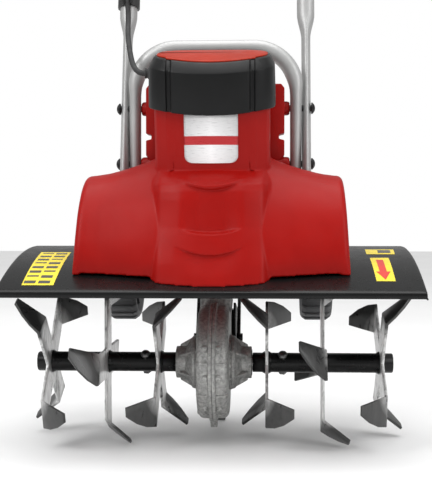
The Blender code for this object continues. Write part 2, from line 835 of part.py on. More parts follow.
def barrel_section(lift, shrink=0.0, wall=0.0):
    """Side view of the wings: a rounded barrel standing on the guard."""
    front, back = -80.0 + shrink, 84.0 - shrink
    top = 220.0 + lift - shrink
    crown = [
        (front, guard_z(front) + 22),
        (-76.0 + shrink, 150.0 + 0.2 * lift),
        (-67.0 + shrink * 0.8, 180.0 + 0.5 * lift),
        (-50.0 + shrink * 0.5, 203.0 + 0.9 * lift - shrink * 0.7),
        (-30.0, top - 4),
        (-8.0, top),
        (8.0 - shrink * 0.5, 209.0 + 0.25 * lift - shrink),
        (34.0, 197.0 + 0.2 * lift - shrink),
        (60.0 - shrink * 0.6, 178.0 - shrink * 0.6),
        (back, 150.0),
    ]
    floor = [back - (back - front) * i / 8 for i in range(9)]
    return crown + [(y, seat_z(y, wall)) for y in floor]


def wing_rings(shrink):
    """Rings of the wings across the machine, from one flared end to the other."""
    stations = ((62, 26), (80, 19), (97, 11), (122, 3), (143, 0))
    half = [(x, lift, 0.0) for x, lift in stations]
    half.append((150.5, 0.0, 5.0))
    rings = []
    ordered = [(-x, lift, pull) for x, lift, pull in reversed(half)] + half
    for x, lift, pull in ordered:
        section = barrel_section(lift, pull + shrink, shrink)
        inset = shrink if abs(x) > 140 else 0.0
        flare = WING_FLARE if abs(x) > 140 else 0.0
        ring = []
        for y, z in section:
            sideways = abs(x) - inset + flare * (225 - z)
            ring.append((math.copysign(sideways, x), y, z))
        rings.append(ring)
    return rings


def bulge_rings(shrink):
    """Rings of the central bulge, which comes furthest forward at the middle."""
    rings = []
    for x in (-64, -58, -38, -19, 0, 19, 38, 58, 64):
        back = 9.0 * (x / 64) ** 2 + shrink + (6.0 if abs(x) > 60 else 0.0)
        section = [
            (-113 + back, seat_z(-113 + back, shrink)),
            (-109 + back, 122.0),
            (-103 + back, 134.0),
            (-97 + back, 152.0),
            (-95 + back, 160.0),
            (-92 + back, 190.0),
            (-87 + back, 207.0),
            (-74 + back, 217.0 - shrink),
            (-20.0, 242.0 - shrink),
            (20.0 - shrink, 240.0 - shrink),
            (20.0 - shrink, seat_z(20, shrink)),
            (-50.0, seat_z(-50, shrink)),
        ]
        scale = 1.0 - shrink / 64 if abs(x) > 60 else 1.0
        rings.append([(x * scale, y, z) for y, z in section])
    return rings


def neck_rings(shrink):
    """Rings of the neck, stacked along the motor: a faceted front and a round back."""
    rings = []
    top = 306.0 if shrink else 299.4
    for s, spread in ((158 - shrink, 3.0), (205, 1.0), (250, 0.0), (top, 0.0)):
        wide = 66.0 + spread - shrink
        face = 46.0 - shrink * 0.5
        front = MOTOR_OFFSET - NECK_FRONT - spread + shrink
        back = MOTOR_OFFSET + 46.0 - shrink
        ring = [
            (-face, front + 1.5),
            (0.0, front),
            (face, front + 1.5),
            (wide - 2, front + 20),
            (wide, front + 34),
            (wide, back - 26),
            (wide - 16, back - 6),
            (wide - 36, back),
            (36 - wide, back),
            (16 - wide, back - 6),
            (-wide, back - 26),
            (-wide, front + 34),
            (2 - wide, front + 20),
        ]
        rings.append([tilted(x, n, s) for x, n in ring])
    return rings


def housing_body(name, shrink):
    """The whole red housing, or its hollow, as one body: wings, bulge and neck."""
    parts = []
    for rings in (wing_rings(shrink), bulge_rings(shrink), neck_rings(shrink)):
        bm = bmesh.new()
        loft(bm, rings)
        parts.append(add_mesh(name, bm, "red_plastic"))
    return combine(parts[0], parts[1:], "UNION")


def housing():
    """Front and rear shells of the motor housing, split across the machine."""
    outer = housing_body("housing_front", 0.0)
    inner = housing_body("hollow", WALL)
    shell = combine(outer, [inner], "DIFFERENCE")
    rear_mesh = shell.data.copy()
    rear = bpy.data.objects.new("housing_rear", rear_mesh)
    bpy.context.scene.collection.objects.link(rear)
    wide, tall = 200, 420
    combine(shell, [cutter_box((-wide, SPLIT_Y, 0), (wide, wide, tall))], "DIFFERENCE")
    combine(rear, [cutter_box((-wide, -wide, 0), (wide, SPLIT_Y + GAP, tall))], "DIFFERENCE")
    ears = []
    for side in (-1, 1):
        outline = (
            (side * 55, 236),
            (side * 78, 240),
            (side * EAR_HALF_WIDTH, 246),
            (side * EAR_HALF_WIDTH, 264),
            (side * (EAR_HALF_WIDTH - 7), 267),
            (side * (EAR_HALF_WIDTH - 7), 271),
            (side * EAR_HALF_WIDTH, 274),
            (side * EAR_HALF_WIDTH, 326),
            (side * (EAR_HALF_WIDTH - 5), 331),
            (side * 58, 331),
        )
        bm = bmesh.new()
        loft(bm, [[(x, y, z) for x, z in outline] for y in (SPLIT_Y + GAP, SPLIT_Y + 24)])
        ears.append(add_mesh("ear", bm, "red_plastic"))
        for depth, height in BOLT_SPOTS:
            bm = bmesh.new()
            lathe(bm, rod_profile(60, LEG_X - 7.4, BOSS_RADIUS), (0, depth, height), (side, 0, 0), 16)
            ears.append(add_mesh("boss", bm, "red_plastic"))
    combine(rear, ears, "UNION")
    motor_room = along_motor("cutter", rod_profile(170, 306, 43.5), MOTOR_OFFSET, "bright_steel")
    combine(rear, [motor_room], "DIFFERENCE")
    for side in (-1, 1):
        for depth, height in BOLT_SPOTS:
            hole = cutter_rod(side * 68, side * 95, depth, height, HOLE_RADIUS)
            combine(rear, [hole], "DIFFERENCE")


def cap_ring(s, pull, shrink, front_pull=0.0):
    """One ring of the motor cap: flat front facet, grooves beside it and round sides."""
    wide = 72.0 - pull - shrink
    front = MOTOR_OFFSET - 62.0 + pull + shrink + front_pull
    back = MOTOR_OFFSET + 50.0 - pull - shrink
    face = 46.0 - shrink * 0.6
    groove = 3.0 if shrink == 0 else 0.0
    half = [
        (0.0, front),
        (face - 4, front + 1.0),
        (face - 1.5, front + 1.5 + groove),
        (face + 1.5, front + 2.0 + groove),
        (face + 3.5, front + 3.0),
        (wide - 10, front + 16),
        (wide - 2, front + 32),
        (wide, front + 48),
        (wide, back - 34),
        (wide - 10, back - 14),
        (wide - 30, back),
    ]
    left = [(-x, n) for x, n in reversed(half[1:])]
    return [tilted(x, n, s) for x, n in half + left]


def motor_cap():
    """Black cap over the motor, with its red lid."""
    bm = bmesh.new()
    outer = [cap_ring(300, 0, 0), cap_ring(346, 1.0, 0), cap_ring(CAP_TOP, 6.0, 0, 4.0)]
    inner = [cap_ring(CAP_TOP - WALL, 6.0, WALL, 4.0), cap_ring(345, 1.0, WALL), cap_ring(300, 0, WALL)]
    rows = loft(bm, outer, closed_ends=False)
    hollow = loft(bm, inner, closed_ends=False)
    bm.faces.new(rows[-1])
    bm.faces.new(hollow[0])
    count = len(rows[0])
    for i in range(count):
        j = (i + 1) % count
        bm.faces.new((rows[0][i], rows[0][j], hollow[-1][j], hollow[-1][i]))
    cap = add_mesh("motor_cap", bm, "black_plastic")
    sleeve = bmesh.new()
    profile = [(70.0, 0.0), (70.0, 6.8), (75.0, 6.4), (79.0, 4.8), (79.0, 0.0)]
    lathe(sleeve, profile, LEAD_EXIT, (-1, 0, 0), SMALL_ROUND)
    combine(cap, [add_mesh("sleeve", sleeve, "black_plastic")], "UNION")
    inlet = bmesh.new()
    lathe(inlet, rod_profile(60, 90, LEAD_RADIUS + GAP), LEAD_EXIT, (-1, 0, 0), SMALL_ROUND)
    combine(cap, [add_mesh("cutter", inlet, "black_plastic")], "DIFFERENCE")
    bm = bmesh.new()
    rings = []
    for s, pull in ((CAP_TOP + GAP, 9.0), (CAP_TOP + 1.5, 9.0), (CAP_TOP + 2.4, 12.0)):
        rings.append(cap_ring(s, pull, 0.001, 4.0))
    loft(bm, rings)
    add_mesh("cap_lid", bm, "red_plastic")


def label_plate():
    """Blank plate on the neck's front facet, with rounded lower corners."""
    half, radius = 30.0, 7.0
    low, high = 241.0, 290.0
    outline = [(-half, high), (half, high)]
    for centre, start in ((half - radius, 0), (radius - half, -90)):
        for i in range(5):
            angle = math.radians(start - 22.5 * i)
            across = centre + radius * math.cos(angle)
            outline.append((across, low + radius + radius * math.sin(angle)))
    front = MOTOR_OFFSET - NECK_FRONT
    rings = [[tilted(x, front - lift, s) for x, s in outline] for lift in (0.7, 1.7)]
    bm = bmesh.new()
    loft(bm, rings)
    add_mesh("label_plate", bm, "label_film")


# ---------------------------------------------------------------- frame and handle


def carry_loop():
    """Bent tube behind the head, with flattened legs bolted to the housing's bosses."""
    corners = [
        (-LEG_X, LOOP_Y, 218),
        (-LEG_X, LOOP_Y, LOOP_TOP),
        (LEG_X, LOOP_Y, LOOP_TOP),
        (LEG_X, LOOP_Y, 218),
    ]
    path = rounded_path(corners, (LOOP_RADIUS, LOOP_RADIUS), 8)
    extra = [Vector((-LEG_X, LOOP_Y, 316)), Vector((LEG_X, LOOP_Y, 316))]
    path = [path[0], extra[0], *path[1:-1], extra[1], path[-1]]
    widths = []
    for spot in path:
        share = min(max((spot.z - 316) / 30, 0), 1)
        widths.append(7.0 + 2.75 * share)
    heights = [9.75] * len(path)
    bm = bmesh.new()
    rings = []
    for (spot, inward, wide), high in zip(zip(path, arch_sides(path), widths), heights):
        depth = Vector((0, 1, 0))
        rings.append([spot + inward * wide * u + depth * high * v for u, v in circle(1.0, TUBE_ROUND)])
    loft(bm, rings)
    loop = add_mesh("carry_loop", bm, "silver_tube", smooth=True)
    for depth, height in BOLT_SPOTS:
        combine(loop, [cutter_rod(-112, 112, depth, height, HOLE_RADIUS)], "DIFFERENCE")


def arch_sides(path):
    """Direction across a planar arch at each of its points."""
    sides = []
    for i in range(len(path)):
        tangent = (path[min(i + 1, len(path) - 1)] - path[max(i - 1, 0)]).normalized()
        sides.append(tangent.cross(Vector((0, 1, 0))).normalized())
    return sides


def lower_tube(name, side):
    """Lower handle tube: flattened where it is bolted, round above, flattened at the fold."""
    x = side * LOWER_TUBE_X
    foot = (x, *TUBE_FOOT)
    corner = (x, *BEND_CORNER)
    end = (x, *fold_point(15.0))
    path = rounded_path([foot, corner, end], (110.0,), 6)
    line = Vector(corner) - Vector(foot)
    flat_end = Vector(foot) + line * 0.62
    round_start = Vector(foot) + line * 0.72
    slope = Vector(end) - Vector(corner)
    taper = Vector(end) - slope.normalized() * 60
    squeeze = Vector(end) - slope.normalized() * 38
    path = [path[0], flat_end, round_start, *path[1:-1], taper, squeeze, path[-1]]
    widths = [5.5, 5.5] + [TUBE_RADIUS] * (len(path) - 4) + [4.5, 4.5]
    heights = [14.0, 13.5] + [TUBE_RADIUS] * (len(path) - 4) + [13.0, 13.0]
    tube = swept(name, path, widths, heights, "silver_tube")
    cuts = [cutter_rod(x - 12, x + 12, *spot, HOLE_RADIUS) for spot in BOLT_SPOTS]
    cuts.append(cutter_rod(x - 12, x + 12, *FOLD, HOLE_RADIUS))
    combine(tube, cuts, "DIFFERENCE")


def handle_bolt(name, side, spot):
    """Dome-head bolt through a lower tube, the carry loop and the housing's boss."""
    face = LOWER_TUBE_X + 5.5 + GAP
    head, length = 7.0, 42.0
    profile = [
        (4.6, 0.0),
        (4.3, head * 0.45),
        (2.8, head * 0.85),
        (0.0, head),
        (0.0, BOLT_RADIUS),
        (-length, BOLT_RADIUS),
        (-length, 0.0),
    ]
    turned(name, profile, (side * face, *spot), (side, 0, 0), "black_bolt", SMALL_ROUND)


def upper_tube(side):
    """Upper handle tube: flat at the fold, flared out, then bent back to its grip."""
    corners = [
        (side * UPPER_TUBE_X, *fold_point(-15)),
        (side * UPPER_TUBE_X, *fold_point(62)),
        (side * GRIP_X, *fold_point(205)),
        (side * GRIP_X, *fold_point(305)),
    ]
    y, z = corners[-1][1:]
    corners.append((side * GRIP_X, y + 178, z + 22))
    path = rounded_path(corners, (60.0, 60.0, 42.0), 5)
    squeeze = Vector((side * UPPER_TUBE_X, *fold_point(22)))
    path = [path[0], squeeze, *path[1:]]
    widths = [4.5, 4.5] + [TUBE_RADIUS] * (len(path) - 2)
    heights = [13.0, 13.0] + [TUBE_RADIUS] * (len(path) - 2)
    tube = swept("upper_handle", path, widths, heights, "silver_tube")
    x = side * UPPER_TUBE_X
    combine(tube, [cutter_rod(x - 12, x + 12, *FOLD, HOLE_RADIUS)], "DIFFERENCE")
    return tube, corners


def grip(name, corners):
    """Rubber grip with finger rings, closed at its rear end."""
    low, high = Vector(corners[-2]), Vector(corners[-1])
    length = (high - low).length
    start = length - 112
    profile = [(start, TUBE_RADIUS + GAP), (start, 16.5), (start + 4, 16.5)]
    for i in range(5):
        at = start + 10 + 18 * i
        profile.extend([(at, 14.4), (at + 9, 15.2)])
    profile.extend([(length + 3, 16.0), (length + 5, 13.0), (length + 5, 0.0)])
    profile.extend([(length + GAP, 0.0), (length + GAP, TUBE_RADIUS + GAP)])
    bm = bmesh.new()
    lathe_closed(bm, profile, low, high - low, 16)
    made = add_mesh(name, bm, "black_rubber", smooth=True)
    set_origin(made, 0, *FOLD)


def upper_handle():
    """Both upper tubes and the bar welded between them, with a grip on each."""
    left, left_corners = upper_tube(-1)
    right, right_corners = upper_tube(1)
    bm = bmesh.new()
    lathe(bm, rod_profile(-GRIP_X, GRIP_X, 8.5), (0, *fold_point(CROSSBAR)), (1, 0, 0), 16)
    bar = add_mesh("bar", bm, "silver_tube", smooth=True)
    frame = combine(left, [bar, right], "UNION")
    set_origin(frame, 0, *FOLD)
    grip("grip_left", left_corners)
    grip("grip_right", right_corners)


def fold_hardware():
    """Carriage bolts through the fold joint, and the star knobs on their outer ends."""
    inner = UPPER_TUBE_X - 4.5 - GAP
    shank_end = LOWER_TUBE_X + 18.4
    profile = [
        (inner - 4.0, 0.0),
        (inner - 3.0, 6.0),
        (inner, 9.0),
        (inner, BOLT_RADIUS),
        (shank_end, BOLT_RADIUS),
        (shank_end, 0.0),
    ]
    for word, side in (("left", -1), ("right", 1)):
        bolt = turned(
            f"fold_bolt_{word}", profile, (0, *FOLD), (side, 0, 0), "bright_steel", SMALL_ROUND
        )
        set_origin(bolt, 0, *FOLD)
    for word, side in (("left", -1), ("right", 1)):
        start = LOWER_TUBE_X + 4.5 + GAP
        count = 30
        hub = [(start, 9.0), (start + 4, 9.0)]
        lobes = [(start + 4.0, 0.86), (start + 7, 1.0), (start + 17, 1.0), (start + 20, 0.86)]
        rings = []
        for x, radius in hub:
            rings.append([(side * x, FOLD[0] + u, FOLD[1] + v) for u, v in circle(radius, count)])
        for x, scale in lobes:
            ring = []
            for i in range(count):
                angle = 2 * math.pi * i / count
                radius = (18.0 + 3.0 * math.cos(5 * angle)) * scale
                ring.append(
                    (side * x, FOLD[0] + radius * math.cos(angle), FOLD[1] + radius * math.sin(angle))
                )
            rings.append(ring)
        bm = bmesh.new()
        loft(bm, rings)
        knob = add_mesh(f"fold_knob_{word}", bm, "black_plastic", smooth=True)
        combine(knob, [cutter_rod(side * 100, side * 128.3, *FOLD, HOLE_RADIUS)], "DIFFERENCE")
        set_origin(knob, 0, *FOLD)


# ---------------------------------------------------------------- switch box and cable

BOX_LOW = (-144.4, 500.0, 862.0)
BOX_HIGH = (-92.0, 574.0, 914.0)
BOX_SPLIT = -120.0
LEVER_PIVOT = (586.0, 880.0)
LEVER_HOLE = 2.7
LEAD_ENTRY = (-131.0, BOX_LOW[1], 890.0)
LEAD_HOLE = 4.2
BUTTON_SPOT = (-106.0, 540.0, BOX_HIGH[2])
BUTTON_HOLE = 6.5


def clipped_box(bm, low, high, cut):
    """A block with its four long edges cut back, run across the machine."""
    y0, z0, y1, z1 = low[1], low[2], high[1], high[2]
    outline = (
        (y0 + cut, z0),
        (y1 - cut, z0),
        (y1, z0 + cut),
        (y1, z1 - cut),
        (y1 - cut, z1),
        (y0 + cut, z1),
        (y0, z1 - cut),
        (y0, z0 + cut),
    )
    prism(bm, outline, low[0], high[0])


def box_shell(name, low_x, high_x, room_x):
    """One half of the switch box as an open tray."""
    bm = bmesh.new()
    clipped_box(bm, (low_x, *BOX_LOW[1:]), (high_x, *BOX_HIGH[1:]), 6.0)
    shell = add_mesh(name, bm, "black_plastic")
    room = bmesh.new()
    low = (room_x[0], BOX_LOW[1] + WALL, BOX_LOW[2] + WALL)
    high = (room_x[1], BOX_HIGH[1] - WALL, BOX_HIGH[2] - WALL)
    clipped_box(room, low, high, 4.0)
    return combine(shell, [add_mesh("cutter", room, "black_plastic")], "DIFFERENCE")


def box_lug(shell, low_x, high_x):
    """Add the drilled lug that carries one end of the lever's pin."""
    y, z = LEVER_PIVOT
    outline = ((y - 15, z - 7), (y + 4, z - 7), (y + 7, z), (y + 4, z + 7), (y - 15, z + 7))
    lug = bmesh.new()
    prism(lug, outline, low_x, high_x)
    combine(shell, [add_mesh("lug", lug, "black_plastic")], "UNION")
    combine(shell, [cutter_rod(low_x - 5, high_x + 5, y, z, LEVER_HOLE)], "DIFFERENCE")
    set_origin(shell, 0, *FOLD)


def switch_box_outer():
    """Outer half: clamp pads on the grip's tube and the hole where the motor lead enters."""
    low_x, high_x = BOX_LOW[0], BOX_SPLIT - GAP / 2
    shell = box_shell("switch_box_outer", low_x, high_x, (low_x + WALL, high_x + 5))
    pads = []
    for y in (527.0, 560.0):
        block = bmesh.new()
        box(block, (TUBE_RADIUS + 0.5 - GRIP_X, y, 884), (low_x + 1, y + 10, 898))
        pads.append(add_mesh("pad", block, "black_plastic"))
    combine(shell, pads, "UNION")
    hole = bmesh.new()
    lathe(hole, rod_profile(-8, 8, LEAD_HOLE), LEAD_ENTRY, (0, 1, 0), SMALL_ROUND)
    combine(shell, [add_mesh("cutter", hole, "black_plastic")], "DIFFERENCE")
    box_lug(shell, low_x + 2, low_x + 8)


def switch_box_inner():
    """Inner half: the lock button's hole on top and the mains inlet's underneath."""
    low_x, high_x = BOX_SPLIT + GAP / 2, BOX_HIGH[0]
    shell = box_shell("switch_box_inner", low_x, high_x, (low_x - 5, high_x - WALL))
    hole = bmesh.new()
    lathe(hole, rod_profile(-8, 8, BUTTON_HOLE), BUTTON_SPOT, (0, 0, 1), 16)
    slot = cutter_box((-115, BOX_LOW[1] + 22, 850), (-97, BOX_LOW[1] + 44, 870))
    combine(shell, [add_mesh("cutter", hole, "black_plastic"), slot], "DIFFERENCE")
    box_lug(shell, high_x - 8, high_x - 2)


def switch_small_parts():
    """Lever, lock button and mains inlet."""
    y, z = LEVER_PIVOT
    bm = bmesh.new()
    lathe(bm, rod_profile(BOX_LOW[0] + 8.6, BOX_HIGH[0] - 8.6, 5.0), (0, y, z), (1, 0, 0), 16)
    lever = add_mesh("trigger_lever", bm, "black_plastic")
    pin = bmesh.new()
    lathe(pin, rod_profile(BOX_LOW[0] + 1, BOX_HIGH[0] - 1, 2.3), (0, y, z), (1, 0, 0), SMALL_ROUND)
    blade = bmesh.new()
    outline = (
        (y - 2, z - 4),
        (y + 20, z - 9),
        (y + 96, z - 14),
        (y + 97, z - 9),
        (y + 18, z - 3),
        (y, z + 3),
    )
    prism(blade, outline, -169.0, -106.0)
    additions = [add_mesh("pin", pin, "black_plastic"), add_mesh("blade", blade, "black_plastic")]
    combine(lever, additions, "UNION")
    room = cutter_box((-180, y - 20, z - 20), (BOX_LOW[0] + 8.6, y + 9.5, z + 20))
    stub = cutter_rod(BOX_LOW[0] + 1, BOX_LOW[0] + 12, y, z, 2.3)
    combine(lever, [room], "DIFFERENCE")
    combine(lever, [stub], "UNION")
    set_origin(lever, 0, *LEVER_PIVOT)
    profile = [(-9, 0.0), (-9, 8.0), (-5.5, 8.0), (-5.5, 6.1), (4.2, 6.1), (5.4, 4.6), (5.4, 0.0)]
    button = turned("lock_button", profile, BUTTON_SPOT, (0, 0, 1), "red_plastic", 16)
    set_origin(button, *BUTTON_SPOT)
    bm = bmesh.new()
    low = (-114.7, BOX_LOW[1] + 22.3, 846)
    high = (-97.3, BOX_LOW[1] + 43.7, 869)
    box(bm, low, high)
    inlet = add_mesh("mains_inlet", bm, "black_plastic")
    recess = cutter_box((low[0] + 2, low[1] + 2, 840), (high[0] - 2, high[1] - 2, 864))
    combine(inlet, [recess], "DIFFERENCE")
    set_origin(inlet, 0, *FOLD)


# Along the bent tube: distance past the bend, inward shift and lift in front of the tube.
LEAD_BESIDE_TUBE = (
    (39, 2, 15.0),
    (80, 4, 15.5),
    (130, 8, 15.5),
    (180, 14, 15.0),
    (225, 20, 12.0),
)


def lead_lower_points():
    """Route of the motor lead from the cap, up the tube's front, to the fold pivot."""
    front = 14.6
    points = [(-66, *LEAD_EXIT[1:]), (-80, *LEAD_EXIT[1:]), (-89, -21, 342), (-97, -4, 356)]
    points.append((-105, 24, 388))
    x = -LOWER_TUBE_X
    for z in (418, 436, 452, 466):
        y = TUBE_FOOT[0] + (z - TUBE_FOOT[1]) * math.tan(LEAN)
        points.append((x if z > 420 else x + 1.5, y - front, z + front * math.tan(LEAN)))
    middle = (LEAN + UPPER_LEAN) / 2
    bend_lift = front - 4.4
    y, z = BEND_CORNER
    points.append((x + 1, y - bend_lift * math.cos(middle), z + bend_lift * math.sin(middle)))
    for along, side, lift in LEAD_BESIDE_TUBE:
        y, z = fold_point(along - FOLD_DISTANCE, lift)
        points.append((x + side, y, z))
    points.append((-86, *fold_point(-38, 8.0)))
    points.append((-76, *fold_point(-15, 3.0)))
    points.append((-62, *fold_point(-2, 0.4)))
    points.append((-52, *FOLD))
    points.append((LEAD_MEET, *FOLD))
    return points


def lead_upper_points():
    """Route of the motor lead from the fold pivot to the switch box, with a slack loop first."""
    points = [(LEAD_MEET + GAP, *FOLD), (-39, *FOLD)]
    points.append((-27, *fold_point(6, 1.5)))
    points.append((-20, *fold_point(24, 4.0)))
    points.append((-26, *fold_point(48, 6.0)))
    points.append((-50, *fold_point(80, 8.0)))
    points.append((-80, *fold_point(115, 10.0)))
    points.append((-104, *fold_point(150, 12.0)))
    points.append((-122, *fold_point(188, 14.0)))
    points.append((-131, *fold_point(238, 15.5)))
    x, y, z = LEAD_ENTRY
    points.append((x, y - 9, z - 0.4))
    points.append((x, y + 7, z))
    return points


def smooth_route(points, spacing=11.0):
    """A smooth curve through hand-set points, sampled evenly enough for a cable."""
    spots = [Vector(p) for p in points]
    route = []
    for i in range(len(spots) - 1):
        p0 = spots[max(i - 1, 0)]
        p1, p2 = spots[i], spots[i + 1]
        p3 = spots[min(i + 2, len(spots) - 1)]
        steps = max(1, round((p2 - p1).length / spacing))
        for k in range(steps):
            t = k / steps
            route.append(
                0.5
                * (
                    2 * p1
                    + (p2 - p0) * t
                    + (2 * p0 - 5 * p1 + 4 * p2 - p3) * t**2
                    + (3 * p1 - p0 - 3 * p2 + p3) * t**3
                )
            )
    route.append(spots[-1])
    return route


def lead(name, points):
    """A stretch of the motor lead as a curve with a round bevel."""
    route = smooth_route(points)
    curve = bpy.data.curves.new(name, "CURVE")
    curve.dimensions = "3D"
    curve.bevel_depth = LEAD_RADIUS * MM
    curve.bevel_resolution = 1
    curve.use_fill_caps = True
    spline = curve.splines.new("POLY")
    spline.points.add(len(route) - 1)
    for point, spot in zip(spline.points, route):
        point.co = (*world(*spot), 1.0)
    curve.materials.append(material("black_rubber"))
    made = bpy.data.objects.new(name, curve)
    bpy.context.scene.collection.objects.link(made)


def lead_clip():
    """The clip that holds the lead to the lower tube."""
    up = Vector((0, math.sin(LEAN), math.cos(LEAN)))
    front = Vector((0, -math.cos(LEAN), math.sin(LEAN)))
    y = TUBE_FOOT[0] + (CLIP_HEIGHT - TUBE_FOOT[1]) * math.tan(LEAN)
    centre = Vector((-LOWER_TUBE_X, y, CLIP_HEIGHT))
    outline = []
    for i in range(-5, 6):
        angle = math.radians(25 * i)
        outline.append((-math.sin(angle) * 13.6, math.cos(angle) * 13.6))
    outline += [(-8.0, 22.0), (8.0, 22.0)]
    ordered = sorted(outline, key=lambda p: math.atan2(p[1], p[0]))
    bm = bmesh.new()
    side = Vector((1, 0, 0))
    ends = (-CLIP_HALF, CLIP_HALF)
    loft(bm, [[centre + side * u + front * v + up * s for u, v in ordered] for s in ends])
    clip = add_mesh("lead_clip", bm, "black_plastic")
    for offset, radius, count in ((0.0, TUBE_RADIUS + GAP, 20), (14.6, LEAD_RADIUS + 2 * GAP, 12)):
        cut = bmesh.new()
        reach = CLIP_HALF + 5
        lathe(cut, rod_profile(-reach, reach, radius), centre + front * offset, up, count)
        combine(clip, [add_mesh("cutter", cut, "black_plastic")], "DIFFERENCE")


# ---------------------------------------------------------------- rear bracket, wheels and spur


def rear_bracket():
    """Two plates behind the gearcase that hold the carrier pivot and the spur's socket."""
    outline = ((62, -8), (112, -2), (150, 14), (150, 52), (112, 58), (62, 66))
    bm = bmesh.new()
    for side in (-1, 1):
        inner = CASE_HALF_WIDTH + GAP
        prism(bm, outline, side * inner, side * (inner + 3))
    plates = add_mesh("rear_bracket", bm, "black_sheet")
    bm = bmesh.new()
    box(bm, (-21.5, SPUR_Y - 10, 18), (21.5, SPUR_Y + 10, 52))
    socket = add_mesh("socket", bm, "black_sheet")
    slot = cutter_box((-8.4, SPUR_Y - 5.4, 0), (8.4, SPUR_Y + 5.4, 80))
    combine(socket, [slot], "DIFFERENCE")
    combine(plates, [socket], "UNION")
    y, z = CARRIER_PIVOT
    combine(plates, [cutter_rod(-40, 40, y, z, 5.3)], "DIFFERENCE")


def wheel_carrier():
    """Swinging carrier: pivot pin, two arms and the wheel axle."""
    y0, z0 = CARRIER_PIVOT
    y1, z1 = WHEEL_CENTRE
    along = Vector((y1 - y0, z1 - z0)).normalized()
    across = Vector((-along.y, along.x))
    outline = []
    for centre, start in (((y1, z1), -90), ((y0, z0), 90)):
        for i in range(5):
            angle = math.radians(start + 45 * i)
            offset = along * (9 * math.cos(angle)) + across * (9 * math.sin(angle))
            outline.append((centre[0] + offset.x, centre[1] + offset.y))
    bm = bmesh.new()
    inner = CASE_HALF_WIDTH + GAP + 3 + 0.5
    for side in (-1, 1):
        prism(bm, outline, side * inner, side * (inner + 4))
    carrier = add_mesh("wheel_carrier", bm, "black_sheet")
    rods = []
    bm = bmesh.new()
    lathe(bm, rod_profile(-inner - 7, inner + 7, 5.0), (0, y0, z0), (1, 0, 0), SMALL_ROUND)
    rods.append(add_mesh("pivot", bm, "black_sheet"))
    bm = bmesh.new()
    reach = WHEEL_X + WHEEL_HALF + 6
    lathe(bm, rod_profile(-reach, reach, 5.0), (0, y1, z1), (1, 0, 0), SMALL_ROUND)
    rods.append(add_mesh("axle", bm, "black_sheet"))
    bm = bmesh.new()
    for side in (-1, 1):
        for x in (WHEEL_X - 22.5, WHEEL_X + 20.5):
            lathe(bm, rod_profile(x, x + 2, 9.0), (0, y1, z1), (side, 0, 0), SMALL_ROUND)
    rods.append(add_mesh("washers", bm, "black_sheet"))
    combine(carrier, rods, "UNION")
    set_origin(carrier, 0, y0, z0)


def transport_wheel(name, side):
    """Moulded wheel with a broad tread, tapered shoulders and a hub."""
    profile = [
        (-WHEEL_HALF, 5.4),
        (-WHEEL_HALF, 12.0),
        (-6.0, 15.0),
        (-6.0, 46.0),
        (-WHEEL_HALF + 2, 50.0),
        (-WHEEL_HALF, 56.0),
        (-WHEEL_HALF + 7, WHEEL_RADIUS),
        (WHEEL_HALF - 7, WHEEL_RADIUS),
        (WHEEL_HALF, 56.0),
        (WHEEL_HALF - 2, 50.0),
        (6.0, 46.0),
        (6.0, 15.0),
        (WHEEL_HALF, 12.0),
        (WHEEL_HALF, 5.4),
    ]
    wheel = turned(name, profile, (side * WHEEL_X, *WHEEL_CENTRE), (side, 0, 0), "grey_wheel", 24)
    set_origin(wheel, side * WHEEL_X, *WHEEL_CENTRE)


def drag_spur():
    """Flat bar that slides in the rear socket and drags in the soil."""
    foot = -AXIS_HEIGHT + 0.2
    y = SPUR_Y
    outline = (
        (y - 5, 92),
        (y - 5, foot + 30),
        (y - 1, foot),
        (y + 5, foot),
        (y + 5, 92),
    )
    bm = bmesh.new()
    prism(bm, outline, -8.0, 8.0)
    spur = add_mesh("drag_spur", bm, "tine_steel")
    set_origin(spur, 0, SPUR_Y, 35)


def main():
    for obj in list(bpy.data.objects):
        bpy.data.objects.remove(obj)
    for index, (x, angle, bend) in enumerate(STARS, 1):
        tine_star(f"tine_star_{index}", x, angle, bend)
    tine_tube("tine_tube_left", -1)
    tine_tube("tine_tube_right", 1)
    tine_bolt("tine_bolt_left", -1)
    tine_bolt("tine_bolt_right", 1)
    output_shaft()
    worm_wheel()
    worm_shaft()
    spur_gear(
        "spur_gear",
        WORM_OFFSET,
        GEAR_TEETH,
        141.5,
        150.0,
        5.1,
        math.pi + math.pi / GEAR_TEETH,
        "bright_steel",
    )
    motor()
    drive_bearings()
    gear_bracket()
    gearcase_half("gearcase_left", -1)
    gearcase_half("gearcase_right", 1)
    bearing_cap("bearing_cap_left", -1)
    bearing_cap("bearing_cap_right", 1)
    shaft_bearing("shaft_bearing_left", -1)
    shaft_bearing("shaft_bearing_right", 1)
    tine_guard()
    housing()
    motor_cap()
    label_plate()
    carry_loop()
    lower_tube("lower_tube_left", -1)
    lower_tube("lower_tube_right", 1)
    for word, side in (("left", -1), ("right", 1)):
        for place, spot in zip(("lower", "upper"), BOLT_SPOTS):
            handle_bolt(f"handle_bolt_{word}_{place}", side, spot)
    upper_handle()
    fold_hardware()
    switch_box_outer()
    switch_box_inner()
    switch_small_parts()
    lead("motor_lead_lower", lead_lower_points())
    lead("motor_lead_upper", lead_upper_points())
    lead_clip()
    rear_bracket()
    wheel_carrier()
    transport_wheel("wheel_left", -1)
    transport_wheel("wheel_right", 1)
    drag_spur()


main()
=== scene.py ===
import json
import math

